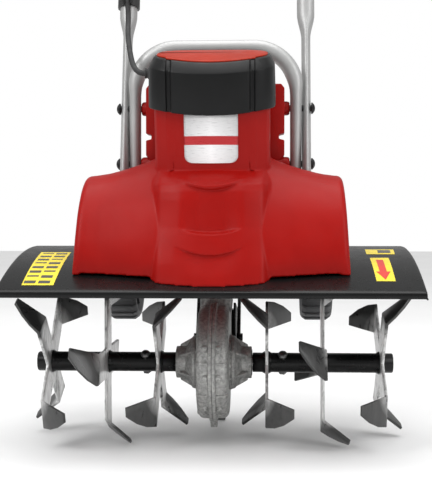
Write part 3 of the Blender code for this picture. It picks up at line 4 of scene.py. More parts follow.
import bmesh
import bpy
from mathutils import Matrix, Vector

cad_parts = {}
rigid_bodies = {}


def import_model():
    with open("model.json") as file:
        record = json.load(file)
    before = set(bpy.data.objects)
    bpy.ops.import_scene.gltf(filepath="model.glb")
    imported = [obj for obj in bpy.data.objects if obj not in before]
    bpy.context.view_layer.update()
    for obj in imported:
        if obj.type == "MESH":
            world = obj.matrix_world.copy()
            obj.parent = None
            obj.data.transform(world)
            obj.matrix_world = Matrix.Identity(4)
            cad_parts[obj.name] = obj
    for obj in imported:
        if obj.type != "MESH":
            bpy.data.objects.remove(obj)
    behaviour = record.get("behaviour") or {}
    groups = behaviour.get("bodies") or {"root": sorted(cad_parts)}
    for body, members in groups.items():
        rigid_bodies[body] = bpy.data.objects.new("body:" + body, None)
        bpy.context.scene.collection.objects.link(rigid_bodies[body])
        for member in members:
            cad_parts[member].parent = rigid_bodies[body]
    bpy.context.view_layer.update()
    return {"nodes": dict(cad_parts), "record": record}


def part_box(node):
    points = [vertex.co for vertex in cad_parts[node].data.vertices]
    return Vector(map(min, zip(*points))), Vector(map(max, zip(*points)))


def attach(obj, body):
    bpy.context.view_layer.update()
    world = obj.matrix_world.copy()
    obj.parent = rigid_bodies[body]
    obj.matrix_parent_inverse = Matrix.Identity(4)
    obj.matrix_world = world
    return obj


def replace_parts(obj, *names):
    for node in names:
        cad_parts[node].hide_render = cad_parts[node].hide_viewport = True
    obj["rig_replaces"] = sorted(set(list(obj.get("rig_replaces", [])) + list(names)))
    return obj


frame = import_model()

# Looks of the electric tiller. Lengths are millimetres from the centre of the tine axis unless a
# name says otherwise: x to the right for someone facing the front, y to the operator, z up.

MM = 0.001
RECORD = frame["record"]
JOINTS = {joint["name"]: joint for joint in RECORD["behaviour"]["joints"]}
BODY_OF = {
    node: body for body, nodes in RECORD["behaviour"]["bodies"].items() for node in nodes
}
SLOT_OF = {part["node"]: part["material_slot"] for part in RECORD["subparts"]}
AXIS = Vector(JOINTS["tine_rotor_spin"]["pos_m"])
FOLD_AT = (Vector(JOINTS["handle_fold"]["pos_m"]) - AXIS) / MM

TILT = math.radians(14.0)
MOTOR_OFFSET = 42.4
LEAN = math.radians(11.8)
UPPER_LEAN = math.radians(48.0)
TUBE_FOOT = (22.0, 222.0)
BEND_CORNER = (79.1, 495.0)
TUBE_RADIUS = 10.75
LOWER_TUBE_X = 109.6
UPPER_TUBE_X = 99.2
GRIP_X = 160.0
GRIP_LENGTH = 112
LEG_X = 96.8
LOOP_Y = 27.0
GUARD_HALF = 232.0
GUARD_CREST_Y = 85.0
GUARD_CREST_Z = 136.0
GUARD_FRONT_FALL = 956.0
GUARD_REAR_FALL = 5.0
GUARD_SHEET = 1.9
LOOP_FOOT = 218.0
LOOP_TOP = 375.0
LOOP_RADIUS = 50.0
BOLT_SPOTS = ((27.0, 236.0), (31.5, 303.0))
BOLT_AXIS = (0, -0.6, 0.8)
CAP_TOP = 356.0
BOW = 270.0
LOBE_TOP = 243.0
LEAD_MEET = -46.0
LEAD_BESIDE_TUBE = ((39, 2, 15.0), (80, 4, 15.5), (130, 8, 15.5), (180, 14, 15.0), (225, 20, 12.0))
SPLIT_Y = 16.0
CASE_HALF = 18.4
FLOOR_REACH = 8.0
FLOOR_LEVEL = -0.0005


# ---------------------------------------------------------------- geometry helpers


def world(point):
    """World metres of a point given in millimetres from the tine axis."""
    return AXIS + Vector(point) * MM


def tilted(x, n, s):
    """A point in the leaning motor's frame: n backwards, s up along the motor."""
    return (x, n * math.cos(TILT) - s * math.sin(TILT), n * math.sin(TILT) + s * math.cos(TILT))


def smoothstep(low, high, value):
    """0 below low, 1 above high, and a smooth ramp between."""
    share = min(max((value - low) / (high - low), 0.0), 1.0)
    return share * share * (3 - 2 * share)


def guard_z(y):
    """Height of the guard's top surface: a long fall to the front, a short one behind the crest."""
    fall = GUARD_FRONT_FALL if y < GUARD_CREST_Y else GUARD_REAR_FALL
    return GUARD_CREST_Z - (GUARD_CREST_Y - y) ** 2 / fall


def finish_mesh(name, bm, angle=35.0):
    """Turn a bmesh into an object shaded smooth up to an angle."""
    bmesh.ops.remove_doubles(bm, verts=bm.verts, dist=1e-6)
    bmesh.ops.recalc_face_normals(bm, faces=bm.faces)
    mesh = bpy.data.meshes.new(name)
    bm.to_mesh(mesh)
    bm.free()
    for face in mesh.polygons:
        face.use_smooth = True
    mesh.set_sharp_from_angle(angle=math.radians(angle))
    made = bpy.data.objects.new(name, mesh)
    bpy.context.scene.collection.objects.link(made)
    return made


def bake(obj):
    """Apply an object's modifiers."""
    graph = bpy.context.evaluated_depsgraph_get()
    graph.update()
    mesh = bpy.data.meshes.new_from_object(obj.evaluated_get(graph))
    obj.modifiers.clear()
    old = obj.data
    obj.data = mesh
    bpy.data.meshes.remove(old)
    return obj


def bevelled(obj, width, segments=2, angle=30.0):
    """Round an object's sharp edges by a width in millimetres."""
    step = obj.modifiers.new("bevel", "BEVEL")
    step.width = width * MM
    step.segments = segments
    step.limit_method = "ANGLE"
    step.angle_limit = math.radians(angle)
    step.harden_normals = False
    bake(obj)
    for face in obj.data.polygons:
        face.use_smooth = True
    obj.data.set_sharp_from_angle(angle=math.radians(40))
    return obj


def loft(bm, rings, caps=True):
    """Skin equal rings of points into a body."""
    rows = [[bm.verts.new(world(point)) for point in ring] for ring in rings]
    count = len(rings[0])
    for low, high in zip(rows, rows[1:]):
        for i in range(count):
            j = (i + 1) % count
            bm.faces.new((low[i], low[j], high[j], high[i]))
    if caps:
        bm.faces.new(rows[0])
        bm.faces.new(rows[-1])
    return rows


def lathe(bm, profile, centre, direction, count=40):
    """Turn (along, radius) points about an axis; a closed profile makes a hollow body."""
    axis = Vector(direction).normalized()
    side = axis.orthogonal().normalized() if abs(axis.x) < 0.99 else Vector((0, 0, 1))
    other = axis.cross(side)
    centre = Vector(centre)
    rings = []
    for along, radius in profile:
        ring = []
        for i in range(count):
            turn = 2 * math.pi * i / count
            spoke = side * math.cos(turn) + other * math.sin(turn)
            ring.append(centre + axis * along + spoke * max(radius, 0.0))
        rings.append(ring)
    loft(bm, rings, caps=False)


def turned(name, profile, centre, direction, count=40, angle=35.0):
    """One turned object."""
    bm = bmesh.new()
    lathe(bm, profile, centre, direction, count)
    bmesh.ops.remove_doubles(bm, verts=bm.verts, dist=1e-6)
    bmesh.ops.dissolve_degenerate(bm, edges=bm.edges, dist=1e-7)
    return finish_mesh(name, bm, angle)


def rounded_path(corners, radii, steps=14):
    """A polyline whose inner corners are arcs."""
    spots = [Vector(c) for c in corners]
    path = [spots[0]]
    for before, corner, after, radius in zip(spots, spots[1:], spots[2:], radii):
        inward = (before - corner).normalized()
        outward = (after - corner).normalized()
        half = inward.angle(outward) / 2
        reach = radius / math.tan(half)
        centre = corner + (inward + outward).normalized() * radius / math.sin(half)
        first = corner + inward * reach - centre
        last = corner + outward * reach - centre
        for i in range(steps + 1):
            path.append(centre + first.slerp(last, i / steps).normalized() * radius)
    path.append(spots[-1])
    return path


def dense(path, spacing=9.0):
    """The same polyline with its long runs divided."""
    out = [path[0]]
    for low, high in zip(path, path[1:]):
        steps = max(1, round((high - low).length / spacing))
        for i in range(1, steps + 1):
            out.append(low.lerp(high, i / steps))
    return out


def frames_along(points):
    """Point, sideways and upward directions along a path."""
    frames = []
    side = None
    for i, spot in enumerate(points):
        tangent = (points[min(i + 1, len(points) - 1)] - points[max(i - 1, 0)]).normalized()
        if side is None:
            side = Vector((1, 0, 0)) if abs(tangent.x) < 0.9 else Vector((0, 1, 0))
        side = (side - tangent * side.dot(tangent)).normalized()
        frames.append((spot, side, tangent.cross(side)))
    return frames


def swept(name, points, sizes, count=32):
    """A rod along a path; sizes gives its two half widths at each point."""
    bm = bmesh.new()
    rings = []
    for (spot, side, up), (wide, high) in zip(frames_along(points), sizes):
        ring = []
        for i in range(count):
            turn = 2 * math.pi * i / count
            ring.append(spot + side * wide * math.cos(turn) + up * high * math.sin(turn))
        rings.append(ring)
    loft(bm, rings)
    return finish_mesh(name, bm, 50)


def smooth_route(points, spacing=4.0):
    """A smooth curve through given points."""
    spots = [Vector(p) for p in points]
    route = []
    for i in range(len(spots) - 1):
        p0, p3 = spots[max(i - 1, 0)], spots[min(i + 2, len(spots) - 1)]
        p1, p2 = spots[i], spots[i + 1]
        steps = max(1, round((p2 - p1).length / spacing))
        for k in range(steps):
            t = k / steps
            bend = (p2 - p0) * t + (2 * p0 - 5 * p1 + 4 * p2 - p3) * t**2
            route.append(0.5 * (2 * p1 + bend + (3 * p1 - p0 - 3 * p2 + p3) * t**3))
    route.append(spots[-1])
    return route


def joined(name, objects):
    """Several objects made into one."""
    bm = bmesh.new()
    for obj in objects:
        bm.from_mesh(obj.data)
        bpy.data.objects.remove(obj)
    mesh = bpy.data.meshes.new(name)
    bm.to_mesh(mesh)
    bm.free()
    for face in mesh.polygons:
        face.use_smooth = True
    mesh.set_sharp_from_angle(angle=math.radians(40))
    made = bpy.data.objects.new(name, mesh)
    bpy.context.scene.collection.objects.link(made)
    return made


def place(obj, paint, body, *nodes):
    """Give a piece its material and its body, and let it stand for CAD nodes."""
    obj.data.materials.clear()
    obj.data.materials.append(paint)
    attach(obj, body)
    if nodes:
        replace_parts(obj, *nodes)
    return obj


def refined(node, paint, bevel=0.6, segments=2, angle=30.0):
    """A copy of a CAD node with merged faces and rounded edges, standing for the node."""
    bm = bmesh.new()
    bm.from_mesh(frame["nodes"][node].data)
    bmesh.ops.remove_doubles(bm, verts=bm.verts, dist=2e-6)
    bmesh.ops.dissolve_limit(
        bm, angle_limit=math.radians(1.0), verts=bm.verts, edges=bm.edges, delimit=set()
    )
    obj = finish_mesh(f"{node}_finished", bm, angle)
    if bevel:
        bevelled(obj, bevel, segments, angle)
    return place(obj, paint, BODY_OF[node], node)


# ---------------------------------------------------------------- materials


class Paint:
    """A small builder for one procedural material."""

    def __init__(self, name, metallic=0.0, coat=0.0, coat_roughness=0.1, specular=0.5):
        self.material = bpy.data.materials.new(name)
        self.material.use_nodes = True
        self.tree = self.material.node_tree
        self.shader = self.tree.nodes["Principled BSDF"]
        self.shader.inputs["Metallic"].default_value = metallic
        self.shader.inputs["Coat Weight"].default_value = coat
        self.shader.inputs["Coat Roughness"].default_value = coat_roughness
        self.shader.inputs["Specular IOR Level"].default_value = specular
        self.where = self.node("ShaderNodeTexCoord").outputs["Object"]

    def node(self, kind, **settings):
        made = self.tree.nodes.new(kind)
        for key, value in settings.items():
            setattr(made, key, value)
        return made

    def link(self, out, into):
        self.tree.links.new(out, into)

    def stretched(self, scale):
        """Object coordinates scaled per axis."""
        mapping = self.node("ShaderNodeMapping")
        mapping.inputs["Scale"].default_value = scale
        self.link(self.where, mapping.inputs["Vector"])
        return mapping.outputs["Vector"]

    def noise(self, scale, detail=4.0, roughness=0.55, distortion=0.0, vector=None):
        made = self.node("ShaderNodeTexNoise")
        made.inputs["Scale"].default_value = scale
        made.inputs["Detail"].default_value = detail
        made.inputs["Roughness"].default_value = roughness
        made.inputs["Distortion"].default_value = distortion
        self.link(vector or self.where, made.inputs["Vector"])
        return made.outputs["Fac"]

    def ramp(self, source, stops):
        """Colour ramp with (position, colour) stops."""
        made = self.node("ShaderNodeValToRGB")
        elements = made.color_ramp.elements
        while len(elements) < len(stops):
            elements.new(0.5)
        for element, (position, colour) in zip(elements, stops):
            element.position = position
            element.color = (*colour, 1.0)
        self.link(source, made.inputs["Fac"])
        return made.outputs["Color"]

    def remap(self, source, low, high, from_low=0.3, from_high=0.7):
        made = self.node("ShaderNodeMapRange")
        made.inputs["From Min"].default_value = from_low
        made.inputs["From Max"].default_value = from_high
        made.inputs["To Min"].default_value = low
        made.inputs["To Max"].default_value = high
        self.link(source, made.inputs["Value"])
        return made.outputs["Result"]

    def mix(self, share, first, second):
        """Mix two colours; each is a colour tuple or an output."""
        made = self.node("ShaderNodeMix", data_type="RGBA")
        if isinstance(share, float):
            made.inputs[0].default_value = share
        else:
            self.link(share, made.inputs[0])
        for socket, value in ((made.inputs[6], first), (made.inputs[7], second)):
            if isinstance(value, tuple):
                socket.default_value = (*value, 1.0)
            else:
                self.link(value, socket)
        return made.outputs[2]

    def maths(self, operation, first, second=0.0):
        made = self.node("ShaderNodeMath", operation=operation)
        for socket, value in zip(made.inputs, (first, second)):
            if isinstance(value, (int, float)):
                socket.default_value = value
            else:
                self.link(value, socket)
        return made.outputs[0]

    def axis_value(self, name):
        """One object coordinate in metres."""
        split = self.node("ShaderNodeSeparateXYZ")
        self.link(self.where, split.inputs[0])
        return split.outputs[name]

    def colour(self, source):
        self.link(source, self.shader.inputs["Base Color"])

    def rough(self, source):
        self.link(source, self.shader.inputs["Roughness"])

    def bump(self, source, strength, distance_mm):
        made = self.node("ShaderNodeBump")
        made.inputs["Strength"].default_value = strength
        made.inputs["Distance"].default_value = distance_mm * MM
        self.link(source, made.inputs["Height"])
        if self.shader.inputs["Normal"].is_linked:
            self.link(self.shader.inputs["Normal"].links[0].from_socket, made.inputs["Normal"])
        self.link(made.outputs["Normal"], self.shader.inputs["Normal"])


def shade(colour, factor):
    return tuple(min(channel * factor, 1.0) for channel in colour)


def moulded(name, colour, roughness, spread=0.08, grain=0.05, grain_scale=1400, specular=0.5):
    """Injection-moulded plastic: faint flow marks and a fine spark-eroded grain."""
    paint = Paint(name, specular=specular)
    flow = paint.noise(18, 3, 0.5, 0.6)
    paint.colour(paint.ramp(flow, [(0.3, shade(colour, 1 - spread)), (0.7, shade(colour, 1 + spread))]))
    paint.rough(paint.remap(paint.noise(60, 5), roughness - 0.05, roughness + 0.07))
    paint.bump(paint.noise(grain_scale, 2, 0.6), grain, 0.05)
    return paint.material


def turned_metal(name, colour, roughness=0.28):
    """Bright turned or ground steel with fine marks and a little handling haze."""
    paint = Paint(name, metallic=1.0)
    haze = paint.noise(45, 5)
    paint.colour(paint.ramp(haze, [(0.3, shade(colour, 0.85)), (0.7, colour)]))
    lines = paint.noise(260, 3, 0.5, vector=paint.stretched((18, 1, 1)))
    paint.rough(paint.remap(lines, roughness - 0.06, roughness + 0.12))
    paint.bump(lines, 0.12, 0.04)
    return paint.material


def sheet_paint():
    """Glossy black powder coat with orange peel."""
    paint = Paint("black_powder_coat", coat=0.03, coat_roughness=0.12, specular=0.2)
    base = (0.005, 0.0052, 0.0053)
    paint.colour(paint.ramp(paint.noise(30, 4), [(0.3, shade(base, 0.8)), (0.75, shade(base, 1.35))]))
    paint.rough(paint.remap(paint.noise(90, 5), 0.24, 0.34))
    paint.bump(paint.noise(420, 2, 0.5), 0.10, 0.08)
    return paint.material


def tube_paint():
    """Silver-grey powder coat over steel tube, with drawn lines and light scuffs."""
    paint = Paint("silver_tube_coat", metallic=0.45, coat=0.05)
    base = (0.42, 0.422, 0.418)
    paint.colour(paint.ramp(paint.noise(14, 4), [(0.3, shade(base, 0.88)), (0.7, shade(base, 1.05))]))
    drawn = paint.noise(160, 3, 0.5, vector=paint.stretched((6, 6, 0.4)))
    paint.rough(paint.remap(drawn, 0.42, 0.52))
    paint.bump(drawn, 0.06, 0.05)
    paint.bump(paint.noise(1300, 2), 0.05, 0.04)
    return paint.material


def tine_paint():
    """Lacquered spring-steel plate: mill marks in the roughness, painted reflection in mottled light grey
    on the arms, and the lacquer's own black at the hooks.
    """
    paint = Paint("tine_lacquer", metallic=0.35, coat=0.1, coat_roughness=0.15)
    across = paint.maths("MULTIPLY", paint.axis_value("Y"), 1.0)
    offset = paint.maths("SUBTRACT", across, AXIS.y)
    rise = paint.maths("SUBTRACT", paint.axis_value("Z"), AXIS.z)
    radius = paint.maths(
        "SQRT", paint.maths("ADD", paint.maths("POWER", offset, 2.0), paint.maths("POWER", rise, 2.0))
    )
    # Painted reflection: inside the hook radius the arms' base colour is light grey and stands for the
    # white surroundings mirrored in the black lacquer. Beyond that radius the lacquer's own black shows.
    hook = paint.remap(radius, 0.0, 1.0, 0.066, 0.078)
    mill_and_reflection = paint.noise(60, 5, 0.6, 1.6, paint.stretched((1, 1.0, 0.35)))
    arm_reflection_tones = [(0.3, (0.12, 0.12, 0.12)), (0.46, (0.50, 0.50, 0.495)), (0.64, (0.80, 0.80, 0.79))]
    arm_reflection = paint.ramp(mill_and_reflection, arm_reflection_tones)
    tip = paint.ramp(mill_and_reflection, [(0.3, (0.035, 0.035, 0.035)), (0.7, (0.065, 0.065, 0.064))])
    paint.colour(paint.mix(hook, arm_reflection, tip))
    paint.rough(paint.remap(mill_and_reflection, 0.24, 0.42))
    paint.bump(paint.noise(240, 5, 0.6), 0.18, 0.12)
    return paint.material


def cast_paint():
    """Sand-grey die-cast aluminium: mottled, matt, with pits."""
    paint = Paint("cast_aluminium", metallic=0.45)
    mottled = paint.noise(260, 6, 0.6, 0.3)
    stops = [(0.3, (0.20, 0.20, 0.195)), (0.55, (0.34, 0.34, 0.33)), (0.75, (0.50, 0.50, 0.485))]
    paint.colour(paint.ramp(mottled, stops))
    paint.rough(paint.remap(mottled, 0.62, 0.42))
    paint.bump(paint.noise(520, 5, 0.7), 0.45, 0.18)
    pits = paint.node("ShaderNodeTexVoronoi")
    pits.inputs["Scale"].default_value = 300
    paint.link(paint.where, pits.inputs["Vector"])
    paint.bump(paint.remap(pits.outputs["Distance"], 0.0, 1.0, 0.0, 0.18), 0.25, 0.12)
    return paint.material


def label_paint():
    """Silver-white film with one plain red band, a fine brushed texture, and painted shade that darkens it
    towards both sides.
    """
    paint = Paint("label_film", metallic=0.2, coat=0.1, coat_roughness=0.2)
    height = paint.axis_value("Z")
    middle = AXIS.z + 0.2565
    half = 0.0048
    above = paint.maths("GREATER_THAN", height, middle - half)
    below = paint.maths("LESS_THAN", height, middle + half)
    band = paint.maths("MULTIPLY", above, below)
    foil = paint.noise(120, 4, 0.5, 0.2, paint.stretched((1, 1, 14)))
    # Painted shade: the silver darkens with distance from the middle, as a bowed surface does where it
    # turns from the light.
    offset = paint.maths("ABSOLUTE", paint.maths("SUBTRACT", paint.axis_value("X"), AXIS.x), 0.0)
    painted_side_shade = paint.remap(offset, 0.0, 1.0, 0.0, 0.03)
    middle_tone = paint.ramp(foil, [(0.3, (0.80, 0.80, 0.805)), (0.7, (0.88, 0.88, 0.88))])
    painted_shade_tone = paint.ramp(foil, [(0.3, (0.50, 0.505, 0.51)), (0.7, (0.60, 0.60, 0.605))])
    silver = paint.mix(painted_side_shade, middle_tone, painted_shade_tone)
    paint.colour(paint.mix(band, silver, (0.42, 0.006, 0.01)))
    paint.rough(paint.remap(foil, 0.25, 0.38))
    paint.bump(foil, 0.04, 0.03)
    return paint.material


def rubber_paint():
    """Matt black rubber with bloom and fine dimples."""
    paint = Paint("black_rubber")
    base = (0.018, 0.018, 0.0185)
    paint.colour(paint.ramp(paint.noise(40, 5), [(0.3, shade(base, 0.75)), (0.75, shade(base, 1.8))]))
    paint.rough(paint.remap(paint.noise(120, 4), 0.62, 0.8))
    paint.bump(paint.noise(900, 3), 0.2, 0.1)
    return paint.material


def winding_paint():
    """Enamelled copper and laminated steel, banded along the motor."""
    paint = Paint("copper_winding", metallic=0.9)
    wires = paint.noise(700, 2, 0.4, vector=paint.stretched((3, 3, 0.3)))
    paint.colour(paint.ramp(wires, [(0.35, (0.25, 0.08, 0.035)), (0.6, (0.62, 0.27, 0.13))]))
    paint.rough(paint.remap(wires, 0.3, 0.5))
    paint.bump(wires, 0.4, 0.2)
    return paint.material


def sticker_paint(name, colour):
    """Printed film: almost even ink with a slight satin texture."""
    paint = Paint(name, coat=0.3, coat_roughness=0.15)
    ink = paint.noise(90, 4)
    paint.colour(paint.ramp(ink, [(0.3, shade(colour, 0.92)), (0.7, shade(colour, 1.04))]))
    paint.rough(paint.remap(ink, 0.32, 0.45))
    paint.bump(paint.noise(700, 2), 0.05, 0.04)
    return paint.material


RED = moulded("red_plastic", (0.29, 0.0035, 0.002), 0.4, spread=0.06, specular=0.14)
LID_RED = moulded("lid_red_plastic", (0.33, 0.02, 0.005), 0.45, specular=0.12)
BLACK = moulded("black_plastic", (0.006, 0.0062, 0.0064), 0.36, spread=0.2, grain=0.12, specular=0.18)
SATIN_BLACK = moulded("switch_plastic", (0.02, 0.02, 0.0205), 0.46, spread=0.15, grain=0.3, grain_scale=900)
WHEEL_GREY = moulded("wheel_plastic", (0.055, 0.056, 0.058), 0.6, spread=0.2, grain=0.25, grain_scale=700)
SHEET = sheet_paint()
TUBE = tube_paint()
TINE = tine_paint()
CAST = cast_paint()
LABEL = label_paint()
RUBBER = rubber_paint()
COPPER = winding_paint()
STEEL = turned_metal("bright_steel", (0.62, 0.62, 0.61))
ZINC = turned_metal("zinc_screw", (0.42, 0.42, 0.41), 0.38)
ZINC_DARK = turned_metal("dark_bolt", (0.16, 0.16, 0.16), 0.35)
BRONZE = turned_metal("bronze", (0.55, 0.36, 0.13), 0.32)
BOLT_BLACK = turned_metal("black_oxide", (0.035, 0.035, 0.036), 0.42)
YELLOW = sticker_paint("yellow_film", (0.85, 0.68, 0.02))
INK = sticker_paint("dark_ink", (0.05, 0.048, 0.04))
RED_INK = sticker_paint("red_ink", (0.62, 0.03, 0.015))

PAINT_OF = {
    "red_plastic": RED,
    "black_plastic": SATIN_BLACK,
    "black_rubber": RUBBER,
    "black_sheet": SHEET,
    "cast_aluminium": CAST,
    "silver_tube": TUBE,
    "tine_steel": TINE,
    "bright_steel": STEEL,
    "black_bolt": BOLT_BLACK,
    "bronze": BRONZE,
    "copper_winding": COPPER,
    "label_film": LABEL,
    "grey_wheel": WHEEL_GREY,
}


# ---------------------------------------------------------------- housing

VOXEL = 1.2


def barrel_section(lift, forward):
    """Side view of a wing: a rounded barrel that stands on the guard."""
    front, back, top = -84.0 - forward, 84.0, 220.0 + lift
    crown = [
        (front, guard_z(front) + 3),
        (front, guard_z(front) + 22),
        (-79.5 - 0.8 * forward, 150.0 + 0.2 * lift),
        (-68.0 - 0.4 * forward, 180.0 + 0.5 * lift),
        (-50.0, 203.0 + 0.8 * lift),
        (-30.0, top - 4),
        (-9.0, top),
        (8.0, 213.0 + 0.25 * lift),
        (34.0, 200.0 + 0.2 * lift),
        (60.0, 180.0),
        (80.0, 155.0),
        (back, guard_z(back) + 2),
    ]
    line = smooth_route([(0, y, z) for y, z in crown], 5.0)
    points = [(p.y, p.z) for p in line]
    floor = [back - (back - front) * i / 12 for i in range(13)]
    return points + [(y, guard_z(y) + 0.7) for y in floor]


def wings():
    """The two wings as one body, flared and rounded at their ends."""
    stations = (
        (0, 30), (50, 27), (62, 22), (71, 18), (80, 14.5), (97, 9), (110, 5.5), (122, 2.6), (136, 0.6),
    )
    half = [(x, lift, 0.0) for x, lift in stations]
    for i in range(7):
        turn = math.pi / 2 * i / 6
        half.append((142.0 + 7.5 * math.sin(turn), 0.0, 7.5 * (1 - math.cos(turn))))
    ordered = [(-x, lift, pull) for x, lift, pull in reversed(half[1:])] + half
    rings = []
    for x, lift, pull in ordered:
        ring = []
        for y, z in barrel_section(lift, 11.0 * (1 - smoothstep(50, 143, abs(x)))):
            inward = pull * min(max((z - guard_z(y)) / 20, 0), 1)
            reach = math.hypot(y + 5, z - 120) or 1.0
            y2 = y - (y + 5) / reach * inward
            z2 = z - (z - 120) / reach * inward if z > 125 else z
            flare = 0.042 * (225 - z) * smoothstep(60, 143, abs(x))
            ring.append((x + math.copysign(flare, x) if x else 0.0, y2, z2))
        rings.append(ring)
    bm = bmesh.new()
    loft(bm, rings)
    return finish_mesh("wings", bm)


def bulge_front(x, z):
    """How far forward the middle of the housing comes at one place, as a y value."""
    anchors = (
        (90.0, -113.0),
        (104.0, -110.0),
        (120.0, -107.0),
        (140.0, -102.0),
        (160.0, -97.5),
        (190.0, -92.5),
        (200.0, -90.0),
        (208.0, -86.0),
        (216.0, -77.0),
        (226.0, -62.0),
        (244.0, -20.0),
    )
    y = anchors[-1][1]
    for (z0, y0), (z1, y1) in zip(anchors, anchors[1:]):
        if z <= z1:
            y = y0 + (y1 - y0) * max((z - z0) / (z1 - z0), 0.0)
            break
    y += (9.0 + 7.0 * smoothstep(115, 190, z)) * (x / 64) ** 2
    return y + 7.0 * smoothstep(54.0, 66.0, abs(x)) ** 2


def pressed(x, y, z):
    """How far the moulded details push the housing's front surface back at one place."""
    if y > -20:
        return 0.0
    back = 0.0
    # Recessed panel under the arched ridge, deepest at its curved lower edge.
    across = 1 - smoothstep(12, 37, abs(x - 1.0))
    floor_z = 153.0 + 5.0 * (x / 33) ** 2
    roof_z = 202.0 + 9.0 * (x / 33) ** 2
    inside = across * smoothstep(floor_z - 1, floor_z + 2, z) * (1 - smoothstep(roof_z - 2, roof_z + 1, z))
    back += inside * (7.5 - 3.5 * smoothstep(160, 200, z))
    # Raised ridge above the panel.
    crest = roof_z + 3.5
    back -= 2.2 * (1 - smoothstep(26, 44, abs(x))) * math.exp(-(((z - crest) / 2.6) ** 2))
    # Second lip lower down, an arc that fades out to the sides.
    lip = 130.0 + 9.0 * (x / 36) ** 2
    fade = 1 - smoothstep(16, 42, abs(x))
    back += fade * 3.2 * (1 - smoothstep(lip - 2.0, lip + 0.5, z)) * smoothstep(lip - 28, lip - 3, z)
    return back


def groove_depth(x, s, n):
    """Depth of the two long grooves in the neck's front."""
    if n > -2 or s < 222:
        return 0.0
    across = abs(abs(x) - 45.5) / 4.2
    if across >= 1:
        return 0.0
    return 3.0 * (1 + math.cos(math.pi * across)) * smoothstep(222, 242, s)


def press_details(mesh):
    """Push the fine mesh back where the moulded details are."""
    for vertex in mesh.vertices:
        x, y, z = (vertex.co - AXIS) / MM
        if abs(x) > 60 or y > 0:
            continue
        n = y * math.cos(TILT) + z * math.sin(TILT)
        s = -y * math.sin(TILT) + z * math.cos(TILT)
        back = pressed(x, y, z) if z < 214 and n < 12 else 0.0
        groove = groove_depth(x, s, n) if z > 196 else 0.0
        vertex.co += Vector((0, (back + groove * math.cos(TILT)) * MM, groove * math.sin(TILT) * MM))


def bulge():
    """The central part of the housing as a closed body with a modelled front."""
    xs = [i * 1.6 for i in range(-41, 42)]
    bm = bmesh.new()
    grid = []
    for x in xs:
        column = []
        low = guard_z(bulge_front(x, 92.0)) + 0.7
        for k in range(91):
            z = low + (LOBE_TOP - low) * k / 90
            column.append(bm.verts.new(world((x, bulge_front(x, z), z))))
        grid.append(column)
    back = []
    for x in xs:
        low = guard_z(-20.0) + 0.7
        back.append([bm.verts.new(world((x, 10.0, low))), bm.verts.new(world((x, 10.0, LOBE_TOP)))])
    for i in range(len(xs) - 1):
        for k in range(90):
            bm.faces.new((grid[i][k], grid[i + 1][k], grid[i + 1][k + 1], grid[i][k + 1]))
        bm.faces.new((grid[i][90], grid[i + 1][90], back[i + 1][1], back[i][1]))
        bm.faces.new((back[i][1], back[i + 1][1], back[i + 1][0], back[i][0]))
        bm.faces.new((back[i][0], back[i + 1][0], grid[i + 1][0], grid[i][0]))
    for i in (0, len(xs) - 1):
        bm.faces.new([*grid[i], back[i][1], back[i][0]])
    return finish_mesh("bulge", bm)


def neck_outline(spread):
    """Plan of the neck in the motor's frame: flat front, two grooves, slanted and round sides."""
    wide = 66.0 + spread
    front = MOTOR_OFFSET - 51.0 - spread
    back = MOTOR_OFFSET + 46.0
    half = [
        (0.0, front),
        *[(x, front + x * x / BOW) for x in (8.0, 16.0, 24.0, 32.0, 40.0, 46.0, 50.0)],
        (wide - 4, front + 19),
        (wide - 1, front + 24),
        (wide, front + 36),
        (wide, back - 30),
        (wide - 3, back - 17),
        (wide - 12, back - 7),
        (wide - 24, back - 2),
        (wide - 40, back),
        (10.0, back),
    ]
    return half + [(-x, n) for x, n in reversed(half[1:])]


def neck():
    """The neck that leans forward to the cap."""
    rings = []
    for s, spread in ((150, 5.0), (170, 3.6), (190, 2.2), (205, 1.2), (225, 0.5), (250, 0), (299.4, 0)):
        rings.append([tilted(x, n, s) for x, n in neck_outline(spread)])
    bm = bmesh.new()
    loft(bm, rings)
    return finish_mesh("neck", bm)


def housing():
    """Front and rear shells: one blended body, parted across the machine."""
    body = joined("housing", [wings(), bulge(), neck()])
    step = body.modifiers.new("blend", "REMESH")
    step.mode = "VOXEL"
    step.voxel_size = VOXEL * MM
    relax = body.modifiers.new("relax", "SMOOTH")
    relax.factor = 0.5
    relax.iterations = 3
    bake(body)
    press_details(body.data)
    for name, keep_front, node in (
        ("housing_front_shell", True, "housing_front"),
        ("housing_rear_shell", False, "housing_rear"),
    ):
        bm = bmesh.new()
        bm.from_mesh(body.data)
        y = SPLIT_Y + (0.0 if keep_front else 0.45)
        geometry = [*bm.verts, *bm.edges, *bm.faces]
        normal = (0, 1, 0) if keep_front else (0, -1, 0)
        result = bmesh.ops.bisect_plane(
            bm, geom=geometry, plane_co=world((0, y, 0)), plane_no=normal, clear_outer=True
        )
        edges = [e for e in result["geom_cut"] if isinstance(e, bmesh.types.BMEdge)]
        bmesh.ops.holes_fill(bm, edges=edges)
        shell = finish_mesh(name, bm, 60)
        place(shell, RED, "chassis", node)
    bpy.data.objects.remove(body)


